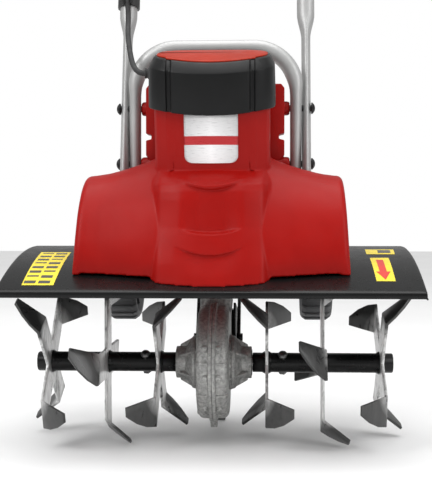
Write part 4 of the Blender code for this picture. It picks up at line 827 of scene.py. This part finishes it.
def ears():
    """Flat ears behind the neck and the bosses that the handle bolts run into."""
    parts = []
    for side in (-1, 1):
        outline = (
            (55, 236), (78, 240), (83, 246), (83, 264), (76.5, 265.5), (76.5, 270.5),
            (83, 272), (83, 326), (79, 331), (58, 331),
        )
        bm = bmesh.new()
        loft(bm, [[(side * x, y, z) for x, z in outline] for y in (16.6, 40.0)])
        parts.append(bevelled(finish_mesh("ear", bm), 1.2, 3))
        for depth, height in BOLT_SPOTS:
            profile = [
                (60, 0), (60, 11.0), (76, 11.0), (79, 9.2), (81, 8.6), (86.4, 8.4),
                (88.2, 7.9), (89.2, 6.6), (89.2, 0),
            ]
            parts.append(turned("boss", profile, (0, depth, height), (side, 0, 0), 36))
        for height in (256.0, 300.0):
            profile = [(0, 0), (0, 4.2), (1.4, 4.2), (2.2, 3.4), (2.2, 1.6), (0.9, 1.2), (0.9, 0)]
            at = (side * 77.0, 40.0, height)
            parts.append(turned("screw_seat", profile, at, (0, 1, 0), 24))
    place(joined("housing_ears", parts), RED, "chassis")


# ---------------------------------------------------------------- cap, lid and label


def cap_outline(pull, front_pull=0.0, groove=3.4):
    """Plan of the cap in the motor's frame, with a groove on each side of the front."""
    wide = 72.0 - pull
    front = MOTOR_OFFSET - 62.0 + pull + front_pull
    back = MOTOR_OFFSET + 50.0 - pull
    half = [(x, front + x * x / BOW) for x in (0.0, 8.0, 16.0, 24.0, 32.0, 40.0, 43.0)]
    half += [
        (43.8, front + 7.2 + groove),
        (46.0, front + 7.8 + groove * 1.15),
        (48.4, front + 8.4 + groove),
        (49.4, front + 9.4),
    ]
    half += [(wide - 13, front + 15.0), (wide - 7, front + 20.5), (wide - 3, front + 28)]
    half += [(wide - 0.8, front + 37), (wide, front + 50), (wide, back - 38)]
    for i in range(7):
        turn = math.pi / 2 * i / 6
        half.append((wide - 32 + 32 * math.cos(turn), back - 30 + 30 * math.sin(turn)))
    half.append((12.0, back))
    return half + [(-x, n) for x, n in reversed(half[1:])]


def cap_level(s, pull, front_pull=0.0, groove=3.4):
    """One level of the cap, whose front sags towards the middle."""
    level = []
    for x, n in cap_outline(pull, front_pull, groove):
        sag = 4.5 * max(1 - (x / 62) ** 2, 0.0) * (1 - smoothstep(MOTOR_OFFSET - 52, MOTOR_OFFSET - 12, n))
        level.append(tilted(x, n, s - sag))
    return level


def motor_cap():
    """Black cap with its grooves, chamfered rim and cable sleeve."""
    rings = []
    for s, pull, front_pull in (
        (300.0, 3.0, 0.0),
        (300.0, 0.5, 0.0),
        (300.7, 0.0, 0.0),
        (318.0, 0.2, 0.0),
        (CAP_TOP - 11.5, 1.0, 0.0),
        (CAP_TOP - 10.0, 1.6, 0.5),
        (CAP_TOP - 1.0, 5.8, 4.4),
        (CAP_TOP, 7.4, 5.2),
        (CAP_TOP, 13.0, 6.0),
    ):
        rings.append(cap_level(s, pull, front_pull))
    bm = bmesh.new()
    loft(bm, rings)
    shell = finish_mesh("motor_cap_shell", bm, 28)
    bevelled(shell, 0.5, 2, 25)
    place(shell, BLACK, "chassis", "motor_cap")
    exit_at = (0.0, -25.0, 338.0)
    profile = [
        (64.0, 0.0), (64.0, 8.6), (70.5, 8.4), (72.0, 7.4), (75.5, 6.4), (76.0, 5.4), (77.0, 5.4),
        (77.5, 6.0), (78.6, 5.9), (79.2, 4.9), (79.2, 3.3), (66.0, 3.3), (66.0, 0.0),
    ]
    sleeve = turned("cable_sleeve", profile, exit_at, (-1, 0, 0), 32)
    place(sleeve, RUBBER, "chassis")


def cap_lid():
    """Red lid let into the cap's top."""
    rings = []
    for s, pull, front_pull in (
        (CAP_TOP + 0.2, 9.0, 6.0), (CAP_TOP + 1.2, 9.0, 6.0), (CAP_TOP + 1.8, 9.6, 6.3),
        (CAP_TOP + 2.4, 11.5, 8.0),
    ):
        rings.append(cap_level(s, pull, front_pull, 0.0))
    bm = bmesh.new()
    loft(bm, rings)
    place(finish_mesh("cap_lid_panel", bm, 30), LID_RED, "chassis", "cap_lid")


def label():
    """Blank film plate bowed with the neck: rounded lower corners, no lettering."""
    half, radius, low, high = 30.0, 8.0, 241.0, 298.5
    front = MOTOR_OFFSET - 51.0
    levels = [high - (high - low - radius) * k / 6 for k in range(7)]
    levels += [low + radius - radius * math.sin(math.pi / 2 * k / 8) for k in range(1, 9)]
    bm = bmesh.new()
    rows = []
    for s in levels:
        below = max(low + radius - s, 0.0)
        wide = half - radius + math.sqrt(max(radius**2 - below**2, 0.0))
        row = []
        for k in range(17):
            x = wide * (k / 8 - 1)
            row.append(bm.verts.new(world(tilted(x, front + x * x / BOW - 1.2, s))))
        rows.append(row)
    for high_row, low_row in zip(rows, rows[1:]):
        for k in range(16):
            bm.faces.new((high_row[k], low_row[k], low_row[k + 1], high_row[k + 1]))
    plate = finish_mesh("label_film_plate", bm, 50)
    skin = plate.modifiers.new("skin", "SOLIDIFY")
    skin.thickness = 1.6 * MM
    skin.offset = -1.0 if plate.data.polygons[0].normal.y < 0 else 1.0
    bake(plate)
    place(plate, LABEL, "chassis", "label_plate")


# ---------------------------------------------------------------- guard and stickers


def tine_guard():
    """Curved sheet guard: rolled side edges, folded front lip, slot for the gearcase."""
    half = GUARD_HALF
    ys = [-122.0 + 207.0 * i / 60 for i in range(61)] + [86.5, 88.5, 90.0, 91.0]
    top = [(y, guard_z(y)) for y in ys]
    lip = [(-121.4, 84.2), (-122.0, 84.8), (-122.0, 87.5), (-122.0, 90.0)]
    line = lip + [(-121.6, guard_z(-121.6) - 0.6), *top[1:]]
    bm = bmesh.new()
    xs = [-half, -half + 0.8, -half + 2.2] + [-226 + 452 * i / 40 for i in range(41)]
    xs += [half - 2.2, half - 0.8, half]
    rows = []
    for x in xs:
        edge = half - abs(x)
        drop = 1.4 * (1 - math.sqrt(1 - (1 - min(edge / 2.2, 1)) ** 2)) if edge < 2.2 else 0.0
        rows.append([bm.verts.new(world((x, y, z - drop))) for y, z in line])
    for low, high in zip(rows, rows[1:]):
        for i in range(len(line) - 1):
            bm.faces.new((low[i], high[i], high[i + 1], low[i + 1]))
    slot = [
        face for face in bm.faces
        if abs((face.calc_center_median() - world((0, 0, 0))).x) < 0.0275
        and 0.0 < (face.calc_center_median() - world((0, 0, 0))).y < 0.064
    ]
    bmesh.ops.delete(bm, geom=slot, context="FACES")
    guard = finish_mesh("tine_guard_sheet", bm, 50)
    sheet = guard.modifiers.new("sheet", "SOLIDIFY")
    sheet.thickness = GUARD_SHEET * MM
    up = guard.data.polygons[len(guard.data.polygons) // 2].normal.z > 0
    sheet.offset = 1.0 if up else -1.0
    bake(guard)
    place(guard, SHEET, "chassis", "tine_guard")


def on_guard(name, outline, lift, paint, steps=14):
    """A thin film on the guard from a plan outline of (x, y) corners taken as a quad."""
    (x0, y0), (x1, y1), (x2, y2), (x3, y3) = outline
    bm = bmesh.new()
    rows = []
    for i in range(steps + 1):
        t = i / steps
        left = (x0 + (x3 - x0) * t, y0 + (y3 - y0) * t)
        right = (x1 + (x2 - x1) * t, y1 + (y2 - y1) * t)
        row = []
        for k in range(5):
            u = k / 4
            x = left[0] + (right[0] - left[0]) * u
            y = left[1] + (right[1] - left[1]) * u
            row.append(bm.verts.new(world((x, y, guard_z(y) + lift))))
        rows.append(row)
    for low, high in zip(rows, rows[1:]):
        for k in range(4):
            bm.faces.new((low[k], low[k + 1], high[k + 1], high[k]))
    film = finish_mesh(name, bm, 60)
    place(film, paint, "chassis")
    return film


def stickers():
    """Plain yellow films: blank bars on the left, a turning-direction arrow on the right."""
    left = ((-208, 7), (-172, 7), (-170, -108), (-205, -108))
    on_guard("left_notice_film", left, 0.25, YELLOW, 30)
    for row in range(8):
        y = 1 - row * 14
        for column, (x0, x1) in enumerate(((-204, -191), (-188, -175))):
            width = 7.0 if (row + column) % 3 else 4.0
            bar = ((x0, y), (x1, y), (x1, y - width), (x0, y - width))
            on_guard(f"notice_bar_{row}_{column}", bar, 0.4, INK, 3)
    on_guard("right_notice_film", ((180, 30), (214, 30), (212, -2), (179, -2)), 0.25, YELLOW, 8)
    on_guard("notice_bar_right", ((194, 24), (209, 24), (208, 5), (193, 5)), 0.4, INK, 5)
    on_guard("arrow_film", ((181, -20), (202.5, -20), (201.5, -96), (181, -96)), 0.25, YELLOW, 24)
    on_guard("arrow_shaft", ((187, -29), (195, -29), (195, -72), (187, -72)), 0.4, RED_INK, 12)
    on_guard("arrow_head", ((183, -70), (199, -70), (191.4, -92), (190.8, -92)), 0.45, RED_INK, 10)


# ---------------------------------------------------------------- frame tubes and handle


def handle_point(x, distance, lift=0.0):
    """A point on the upper line, at a distance beyond the fold pivot."""
    y = FOLD_AT.y + distance * math.sin(UPPER_LEAN) - lift * math.cos(UPPER_LEAN)
    z = FOLD_AT.z + distance * math.cos(UPPER_LEAN) + lift * math.sin(UPPER_LEAN)
    return Vector((x, y, z))


def lower_tubes():
    """Lower handle tubes, pressed flat where they are bolted and at the fold."""
    for word, side in (("left", -1), ("right", 1)):
        x = side * LOWER_TUBE_X
        foot = Vector((x, *TUBE_FOOT))
        corner = Vector((x, *BEND_CORNER))
        end = handle_point(x, 15.0)
        path = dense(rounded_path([foot, corner, end], (110.0,)), 6.0)
        total = (corner - foot).length
        sizes = []
        for spot in path:
            flat = 1 - smoothstep(total * 0.62, total * 0.73, (spot - foot).length)
            fold = 1 - smoothstep(38, 60, (spot - end).length)
            wide = TUBE_RADIUS + (5.5 - TUBE_RADIUS) * flat + (4.5 - TUBE_RADIUS) * fold
            high = TUBE_RADIUS + (14.0 - TUBE_RADIUS) * flat + (13.0 - TUBE_RADIUS) * fold
            sizes.append((wide, high))
        tube = bevelled(swept(f"lower_tube_{word}_coated", path, sizes), 1.2, 3, 50)
        place(tube, TUBE, "chassis", f"lower_tube_{word}")


def carry_loop():
    """The bent carrying tube behind the head."""
    corners = [
        (-LEG_X, LOOP_Y, LOOP_FOOT),
        (-LEG_X, LOOP_Y, LOOP_TOP),
        (LEG_X, LOOP_Y, LOOP_TOP),
        (LEG_X, LOOP_Y, LOOP_FOOT),
    ]
    path = dense(rounded_path(corners, (LOOP_RADIUS, LOOP_RADIUS), 20), 6.0)
    bm = bmesh.new()
    rings = []
    for i, spot in enumerate(path):
        tangent = (path[min(i + 1, len(path) - 1)] - path[max(i - 1, 0)]).normalized()
        side = tangent.cross(Vector((0, 1, 0))).normalized()
        wide = 7.0 + 2.75 * smoothstep(316, 346, spot.z)
        ring = []
        for k in range(32):
            turn = 2 * math.pi * k / 32
            ring.append(spot + side * wide * math.cos(turn) + Vector((0, 9.75, 0)) * math.sin(turn))
        rings.append(ring)
    loft(bm, rings)
    loop = bevelled(finish_mesh("carry_loop_coated", bm, 50), 1.0, 3, 50)
    place(loop, TUBE, "chassis", "carry_loop")


def upper_handle():
    """Upper handle: two flared tubes with a welded crossbar, and rubber grips."""
    parts = []
    for side in (-1, 1):
        corners = [
            handle_point(side * UPPER_TUBE_X, -15),
            handle_point(side * UPPER_TUBE_X, 62),
            handle_point(side * GRIP_X, 205),
            handle_point(side * GRIP_X, 305),
        ]
        corners.append(corners[-1] + Vector((0, 178, 22)))
        path = dense(rounded_path(corners, (60.0, 60.0, 42.0), 12), 7.0)
        sizes = []
        for spot in path:
            fold = 1 - smoothstep(36, 70, (spot - path[0]).length)
            flat_wide = TUBE_RADIUS + (4.5 - TUBE_RADIUS) * fold
            flat_high = TUBE_RADIUS + (13.0 - TUBE_RADIUS) * fold
            sizes.append((flat_wide, flat_high))
        parts.append(bevelled(swept("side_tube", path, sizes), 1.2, 3, 50))
        low, high = corners[-2], corners[-1]
        grip("left" if side < 0 else "right", low, high)
        bead = handle_point(side * (GRIP_X - TUBE_RADIUS - 0.8), 240)
        weld = [(-2, 8.0), (-1.6, 10.2), (0.4, 10.8), (2.2, 9.4), (3, 8.0)]
        parts.append(turned("bead", weld, bead, (-side, 0, 0), 32))
    across = dense([handle_point(-GRIP_X + 9, 240), handle_point(GRIP_X - 9, 240)], 12)
    parts.append(swept("bar", across, [(8.5, 8.5)] * 60))
    place(joined("upper_handle_coated", parts), TUBE, "top_handle", "upper_handle")


def grip(word, low, high):
    """Soft grip with finger rings and a flange."""
    length = (high - low).length
    start = length - GRIP_LENGTH
    profile = [(start, TUBE_RADIUS + 0.2), (start, 15.8), (start + 0.8, 16.5)]
    profile += [(start + 3.4, 16.5), (start + 4.4, 15.4)]
    for i in range(10):
        at = start + 8 + 9.6 * i
        profile += [(at, 14.1), (at + 1.0, 14.0), (at + 3.2, 14.9), (at + 5.4, 15.2), (at + 7.4, 14.8)]
    profile += [(length + 2.5, 16.0), (length + 4.2, 14.8), (length + 5, 12.5), (length + 5, 0)]
    sleeve = turned(f"grip_{word}_rubber", profile, low, high - low, 40, 50)
    place(sleeve, RUBBER, "top_handle", f"grip_{word}")


def bolts():
    """Domed handle bolts, and washers under their heads."""
    for word, side in (("left", -1), ("right", 1)):
        for place_word, spot in zip(("lower", "upper"), BOLT_SPOTS):
            face = LOWER_TUBE_X + 5.8
            profile = [(-41.5, 0), (-41.5, 3.9), (0, 3.9), (0, 6.7), (0.5, 7.0), (1.6, 6.7)]
            profile += [(4.6 * math.sin(a), 6.7 * math.cos(a)) for a in (0.45, 0.75, 1.0, 1.25, 1.45)]
            profile += [(4.6, 0)]
            node = f"handle_bolt_{word}_{place_word}"
            centre = (side * face, *spot)
            place(turned(f"{node}_domed", profile, centre, (side, 0, 0), 36), BOLT_BLACK, "chassis", node)


# ---------------------------------------------------------------- leads


def lead(name, points, body, node):
    """A stretch of the motor lead as a round cable."""
    route = smooth_route(points)
    cable = swept(name, route, [(3.2, 3.2)] * len(route), 20)
    place(cable, RUBBER, body, node)


def leads():
    """The motor lead from the cap, up the left tube, over the fold and into the switch box."""
    front = 14.6
    points = [(-66, -25, 338), (-80, -25, 338), (-89, -21, 342), (-97, -4, 356), (-105, 24, 388)]
    x = -LOWER_TUBE_X
    for z in (418, 436, 452, 466):
        y = TUBE_FOOT[0] + (z - TUBE_FOOT[1]) * math.tan(LEAN)
        points.append((x if z > 420 else x + 1.5, y - front, z + front * math.tan(LEAN)))
    middle = (LEAN + UPPER_LEAN) / 2
    bend = front - 4.4
    corner_y, corner_z = BEND_CORNER
    points.append((x + 1, corner_y - bend * math.cos(middle), corner_z + bend * math.sin(middle)))
    for along, inward, lift in LEAD_BESIDE_TUBE:
        points.append(handle_point(x + inward, along - 285.0, lift))
    points += [handle_point(-86, -38, 8.0), handle_point(-76, -15, 3.0), handle_point(-62, -2, 0.4)]
    points += [handle_point(-53, 0.0), handle_point(-49.5, 0.0), handle_point(LEAD_MEET, 0.0)]
    lead("motor_lead_lower_cable", points, "chassis", "motor_lead_lower")
    points = [handle_point(LEAD_MEET + 0.6, 0.0), handle_point(-42.5, 0.0), handle_point(-38.5, 0.0)]
    points.append(handle_point(-27, 6, 1.5))
    points += [handle_point(-20, 24, 4.0), handle_point(-26, 48, 6.0), handle_point(-50, 80, 8.0)]
    points += [handle_point(-80, 115, 10.0), handle_point(-104, 150, 12.0), handle_point(-122, 188, 14.0)]
    points += [handle_point(-131, 238, 15.5), (-131, 491, 889.6), (-131, 507, 890)]
    lead("motor_lead_upper_cable", points, "top_handle", "motor_lead_upper")


# ---------------------------------------------------------------- gearcase details


def case_outline(grow):
    """Side view of the gearcase: the chamber's circle run into the leaning worm column."""
    outer, radius = 22.0 + grow, 66.0 + grow
    front, back, top = 64.0 - outer, 64.0 + outer, 134.0
    start = math.acos(front / radius)
    base = -math.radians(58)
    points = [tilted(0, front, top)[1:], tilted(0, front, radius * math.sin(start))[1:]]
    for i in range(1, 49):
        angle = start + (2 * math.pi + base - start) * i / 48
        points.append(tilted(0, radius * math.cos(angle), radius * math.sin(angle))[1:])
    points.append(tilted(0, back, -44 - grow)[1:])
    points.append(tilted(0, back, top)[1:])
    return points


def gearcase():
    """Two cast halves with a raised seam, rounded flanks and a collar under the guard."""
    for word, side in (("left", -1), ("right", 1)):
        steps = [(0.15, 3.6), (0.5, 4.0), (3.5, 4.0), (4.2, 3.3), (4.6, 0.6), (5.4, 0.0), (10.0, 0.0)]
        for i in range(1, 8):
            turn = math.pi / 2 * i / 7
            steps.append((10.0 + 8.4 * math.sin(turn), -8.4 * (1 - math.cos(turn))))
        rings = [[(side * x, y, z) for y, z in case_outline(grow)] for x, grow in steps]
        bm = bmesh.new()
        loft(bm, rings)
        parts = [finish_mesh("half", bm, 40)]
        for s_low, s_high, reach in ((47.0, 50.5, 19.8), (76.0, 80.0, 19.8)):
            bm = bmesh.new()
            loft(bm, [collar_ring(side, s, reach - cut) for s, cut in (
                (s_low, 1.2), (s_low + 1, 0.0), (s_high - 1, 0.0), (s_high, 1.2))])
            parts.append(finish_mesh("collar", bm, 40))
        place(joined(f"gearcase_{word}_cast", parts), CAST, "chassis", f"gearcase_{word}")


def collar_ring(side, s, reach):
    """One level of the collar round the worm column, rounded at its front corner."""
    points = [(0.3, 64.0 - 25.0), (reach - 9, 64.0 - 25.0)]
    for i in range(1, 6):
        turn = math.pi / 2 * i / 6
        points.append((reach - 9 + 9 * math.sin(turn), 64.0 - 16.0 - 9 * math.cos(turn)))
    points += [(reach, 64.0 - 16.0), (reach, 88.0), (0.3, 88.0)]
    return [tilted(side * x, n, s) for x, n in points]


def front_of_case(x, s):
    """Depth of the gearcase's rounded front in the motor's frame."""
    sink = 0.0
    if abs(x) > 10:
        sink = 8.4 * (1 - math.sqrt(max(1 - ((abs(x) - 10) / 8.4) ** 2, 0.0)))
    return worm_front(s) + sink


def gearcase_details():
    """Seam screws, cross ribs, gussets, flange screws and shaft seals of the gearcase."""
    parts, screws, seals = [], [], []
    for s in (22.0, -16.0, -46.0):
        for side in (-1, 1):
            bm = bmesh.new()
            rings = []
            for k in range(9):
                x = 4.0 + 14.2 * k / 8
                depth = front_of_case(x, s)
                lean = math.copysign(1.0, s) * abs(s) / 66.0
                out = Vector(tilted(0, -math.sqrt(max(1 - lean**2, 0.0)), lean))
                up = Vector(tilted(0, lean, math.sqrt(max(1 - lean**2, 0.0))))
                base = Vector(tilted(side * x, depth, s))
                rings.append([
                    base + out * reach + up * lift
                    for reach, lift in ((-3.0, -1.7), (1.1, -1.1), (1.5, 0.0), (1.1, 1.1), (-3.0, 1.7))
                ])
            loft(bm, rings)
            parts.append(finish_mesh("rib", bm, 50))
    for s in (84.0, 36.0, 6.0, -34.0):
        for side in (-1, 1):
            depth = front_of_case(7.6, s)
            lean = s / 66.0 if abs(s) < 50 else 0.0
            axis = tilted(0, -math.sqrt(1 - lean**2), lean)
            centre = tilted(side * 7.6, depth + 2.6, s)
            boss = [(0, 0), (0, 4.4), (4.0, 4.0), (4.6, 3.4), (4.6, 0)]
            parts.append(turned("boss", boss, centre, axis, 24))
            head = [(4.4, 0), (4.4, 2.6), (5.9, 2.4), (6.3, 1.9), (6.3, 1.3), (5.2, 1.2), (5.2, 0)]
            screws.append(turned("screw", head, centre, axis, 24))
    bm = bmesh.new()
    rings = [
        [(x * w, y * w, z) for x, y in ((-4.2, -7.0), (4.2, -7.0), (4.2, 7.0), (-4.2, 7.0))]
        for z, w in ((-66.0, 1.15), (-72.0, 1.0), (-76.0, 0.95), (-76.8, 0.8))
    ]
    loft(bm, rings)
    parts.append(bevelled(finish_mesh("drain_tab", bm), 0.8, 2))
    for side in (-1, 1):
        for k in range(6):
            turn = math.radians(60 * k + 30)
            spoke = Vector((0, math.cos(turn), math.sin(turn)))
            bm = bmesh.new()
            across = Vector((0, -spoke.z, spoke.y)) * 1.5
            x0, x1 = side * (CASE_HALF - 1.0), side * 40.0
            corners = (
                Vector((x0, 0, 0)) + spoke * 18,
                Vector((x1, 0, 0)) + spoke * 18,
                Vector((x1, 0, 0)) + spoke * 21.0,
                Vector((x0, 0, 0)) + spoke * 34,
            )
            loft(bm, [[p + across * sign for p in corners] for sign in (-1, 1)])
            parts.append(bevelled(finish_mesh("gusset", bm), 0.8, 2))
            off = turn + 0.52
            at = Vector((side * (CASE_HALF - 0.4), 0, 0))
            at += Vector((0, math.cos(off), math.sin(off))) * 28.0
            head = [(0, 0), (0, 4.4), (3.0, 4.2), (3.2, 3.4), (3.2, 2.8), (5.6, 2.7), (6.0, 2.1), (6.0, 0)]
            screws.append(turned("flange_screw", head, at, (side, 0, 0), 24, 20))
        flange = [(14.0, 0), (14.0, 32.0), (19.8, 32.0), (20.6, 31.2), (20.6, 18.0), (14.0, 18.0)]
        parts.append(turned("flange", flange, (0, 0, 0), (side, 0, 0), 48))
        seal = [(44.2, 9.9), (44.2, 15.6), (45.1, 15.2), (45.1, 10.6), (44.6, 9.9)]
        seals.append(turned("seal", seal, (0, 0, 0), (side, 0, 0), 40))
    place(joined("gearcase_ribs", parts), CAST, "chassis")
    place(joined("gearcase_screws", screws), ZINC, "chassis")
    place(joined("shaft_seals", seals), RUBBER, "chassis")


def worm_front(s):
    """Depth of the gearcase's front surface in the motor's frame."""
    front = 64.0 - 22.0
    edge = math.sqrt(66.0**2 - front**2)
    if s > edge:
        return front
    return -math.sqrt(max(66.0**2 - s**2, 0.0))


# ---------------------------------------------------------------- tine tubes


def tine_tubes():
    """Drive tubes with low weld collars beside their stars, and the cross bolts."""
    for word, side in (("left", -1), ("right", 1)):
        profile = [(45.6, 9.7), (45.6, 11.0), (46.1, 11.5)]
        stars = sorted(
            abs(((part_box(node)[0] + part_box(node)[1]) / 2 - AXIS).x) / MM
            for node in frame["nodes"]
            if node.startswith("tine_star") and ((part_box(node)[0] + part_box(node)[1]) / 2).x * side > 0
        )
        for x in stars:
            profile += [(x - 5.4, 11.5), (x - 4.4, 12.2), (x - 2.6, 13.2), (x - 1.9, 13.4), (x - 1.9, 11.6)]
            profile += [(x + 1.9, 11.6), (x + 1.9, 13.4), (x + 2.6, 13.2), (x + 4.4, 12.2), (x + 5.4, 11.5)]
        profile += [(208.8, 11.5), (210.0, 10.6), (210.0, 8.8), (209.2, 8.4), (204.0, 8.2), (204.0, 0.0)]
        tube = turned(f"tine_tube_{word}_coated", profile, (0, 0, 0), (side, 0, 0), 48, 50)
        place(tube, SHEET, "tine_rotor", f"tine_tube_{word}")
        centre = (side * 81.0, 0, 0)
        head = [(10.0, 0), (10.0, 5.6), (11.9, 5.6), (12.3, 5.9)]
        head += [(12.9, 5.8), (14.6, 4.9), (15.6, 3.2), (15.9, 0)]
        nut = [(-9.0, 0), (-9.0, 3.0), (-11.9, 5.4), (-15.4, 5.4), (-15.8, 4.8), (-15.8, 0)]
        parts = [turned("head", head, centre, BOLT_AXIS, 32), turned("nut", nut, centre, BOLT_AXIS, 6, 20)]
        place(joined(f"tine_bolt_{word}_domed", parts), ZINC_DARK, "tine_rotor", f"tine_bolt_{word}")


# ---------------------------------------------------------------- wheels


def wheels():
    """Transport wheels with tread bars across a broad rim, ribs in the disc and a hub."""
    for word, side in (("left", -1), ("right", 1)):
        joint = JOINTS[f"{word}_wheel_spin"]
        centre = (Vector(joint["pos_m"]) - AXIS) / MM
        flank = [
            (6, 45), (6, 16), (7, 15), (19.4, 12.4), (20, 11.4), (20, 5.4),
        ]
        tread = [(20, 53), (19.4, 51), (17.6, 50), (7, 46.5)]
        half = [(14, 59.6), (18.6, 57.4), (20, 55.6), *tread, *flank]
        profile = [(-along, radius) for along, radius in reversed(half)] + half
        bm = bmesh.new()
        lathe(bm, [*profile, profile[0]], centre, (side, 0, 0), 72)
        parts = [finish_mesh("rim", bm, 40)]
        for k in range(24):
            turn = 2 * math.pi * k / 24
            spoke = Vector((0, math.cos(turn), math.sin(turn)))
            across = Vector((0, -spoke.z, spoke.y))
            bm = bmesh.new()
            rings = []
            for x, high in ((-19.0, 57.6), (-13.5, 61.6), (13.5, 61.6), (19.0, 57.6)):
                base = centre + Vector((x, 0, 0))
                rings.append([
                    base + spoke * 54 + across * 4.4, base + spoke * high + across * 3.4,
                    base + spoke * high - across * 3.4, base + spoke * 54 - across * 4.4,
                ])
            loft(bm, rings)
            parts.append(bevelled(finish_mesh("bar", bm), 0.7, 2))
        for k in range(6):
            turn = 2 * math.pi * k / 6
            spoke = Vector((0, math.cos(turn), math.sin(turn)))
            across = Vector((0, -spoke.z, spoke.y)) * 1.6
            bm = bmesh.new()
            rings = []
            for x in (-16.0, 16.0):
                base = centre + Vector((x, 0, 0))
                rings.append([
                    base + spoke * 12.5 + across, base + spoke * 48.5 + across,
                    base + spoke * 48.5 - across, base + spoke * 12.5 - across,
                ])
            loft(bm, rings)
            parts.append(bevelled(finish_mesh("web", bm), 0.8, 2))
        place(joined(f"wheel_{word}_moulded", parts), WHEEL_GREY, f"{word}_wheel", f"wheel_{word}")


# ---------------------------------------------------------------- scene


def carried_nodes():
    """Every CAD node that isn't stood for by a richer piece: rounded edges and its material."""
    done = set()
    for obj in bpy.data.objects:
        done.update(obj.get("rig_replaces", []))
    bevels = {
        "tine_star": 0.7,
        "gearcase": 1.6,
        "bearing_cap": 0.9,
        "wheel_carrier": 1.0,
        "rear_bracket": 0.8,
        "fold_knob": 1.2,
        "switch_box": 1.6,
        "trigger_lever": 1.4,
        "lock_button": 0.6,
        "mains_inlet": 0.7,
        "lead_clip": 0.8,
        "drag_spur": 0.8,
    }
    for node in sorted(frame["nodes"]):
        if node in done:
            continue
        width = next((w for key, w in bevels.items() if node.startswith(key)), 0.4)
        refined(node, PAINT_OF[SLOT_OF[node]], width)


def floor():
    """A wide pale floor."""
    bm = bmesh.new()
    edge = FLOOR_REACH
    spots = ((-edge, -edge), (edge, -edge), (edge, edge), (-edge, edge))
    bm.faces.new([bm.verts.new((x, y, FLOOR_LEVEL)) for x, y in spots])
    mesh = bpy.data.meshes.new("floor")
    bm.to_mesh(mesh)
    bm.free()
    made = bpy.data.objects.new("floor", mesh)
    bpy.context.scene.collection.objects.link(made)
    paint = Paint("pale_floor")
    paint.colour(paint.ramp(paint.noise(2, 3), [(0.3, (0.80, 0.80, 0.80)), (0.7, (0.84, 0.84, 0.84))]))
    paint.rough(paint.remap(paint.noise(6, 3), 0.5, 0.6))
    mesh.materials.append(paint.material)


def area_light(name, at, aim, size, power):
    light = bpy.data.lights.new(name, "AREA")
    light.shape = "RECTANGLE"
    light.size, light.size_y = size
    light.energy = power
    made = bpy.data.objects.new(name, light)
    bpy.context.scene.collection.objects.link(made)
    made.location = at
    made.rotation_euler = (Vector(aim) - Vector(at)).to_track_quat("-Z", "Y").to_euler()


def studio():
    """Soft white surroundings, two broad side lights and a top light."""
    surroundings = bpy.data.worlds.new("studio")
    surroundings.use_nodes = True
    tree = surroundings.node_tree
    ambient = tree.nodes["Background"]
    ambient.inputs["Color"].default_value = (1.0, 1.0, 1.0, 1.0)
    ambient.inputs["Strength"].default_value = 0.5
    backdrop = tree.nodes.new("ShaderNodeBackground")
    backdrop.inputs["Color"].default_value = (1.0, 1.0, 1.0, 1.0)
    backdrop.inputs["Strength"].default_value = 1.0
    sight = tree.nodes.new("ShaderNodeLightPath")
    choice = tree.nodes.new("ShaderNodeMixShader")
    tree.links.new(sight.outputs["Is Camera Ray"], choice.inputs[0])
    tree.links.new(ambient.outputs[0], choice.inputs[1])
    tree.links.new(backdrop.outputs[0], choice.inputs[2])
    tree.links.new(choice.outputs[0], tree.nodes["World Output"].inputs["Surface"])
    bpy.context.scene.world = surroundings
    bpy.context.scene.view_settings.view_transform = "Standard"
    target = (0, -0.25, 0.25)
    area_light("key", (-1.6, -1.7, 1.9), target, (1.2, 1.2), 30)
    area_light("fill", (1.9, -1.4, 1.3), target, (1.0, 1.6), 18)
    area_light("top", (0.1, -0.1, 2.6), target, (2.4, 2.0), 30)
    overhead = bpy.data.lights.new("overhead", "SUN")
    overhead.energy = 1.3
    overhead.angle = math.radians(60)
    high = bpy.data.objects.new("overhead", overhead)
    bpy.context.scene.collection.objects.link(high)
    high.rotation_euler = (math.radians(12), 0.0, 0.0)


def camera():
    """Camera in front of the machine, a little right of its middle and nearly level."""
    lens = bpy.data.cameras.new("camera")
    lens.lens = 74.5
    lens.sensor_width = 36.0
    made = bpy.data.objects.new("camera", lens)
    bpy.context.scene.collection.objects.link(made)
    made.location = world((61.28, -1222.84, 165.0))
    made.rotation_euler = (math.radians(90 - 1.499), 0.0, math.radians(2.772))
    bpy.context.scene.camera = made


def main():
    housing()
    ears()
    motor_cap()
    cap_lid()
    label()
    tine_guard()
    stickers()
    lower_tubes()
    carry_loop()
    upper_handle()
    bolts()
    leads()
    gearcase()
    gearcase_details()
    tine_tubes()
    wheels()
    carried_nodes()
    floor()
    studio()
    camera()


main()
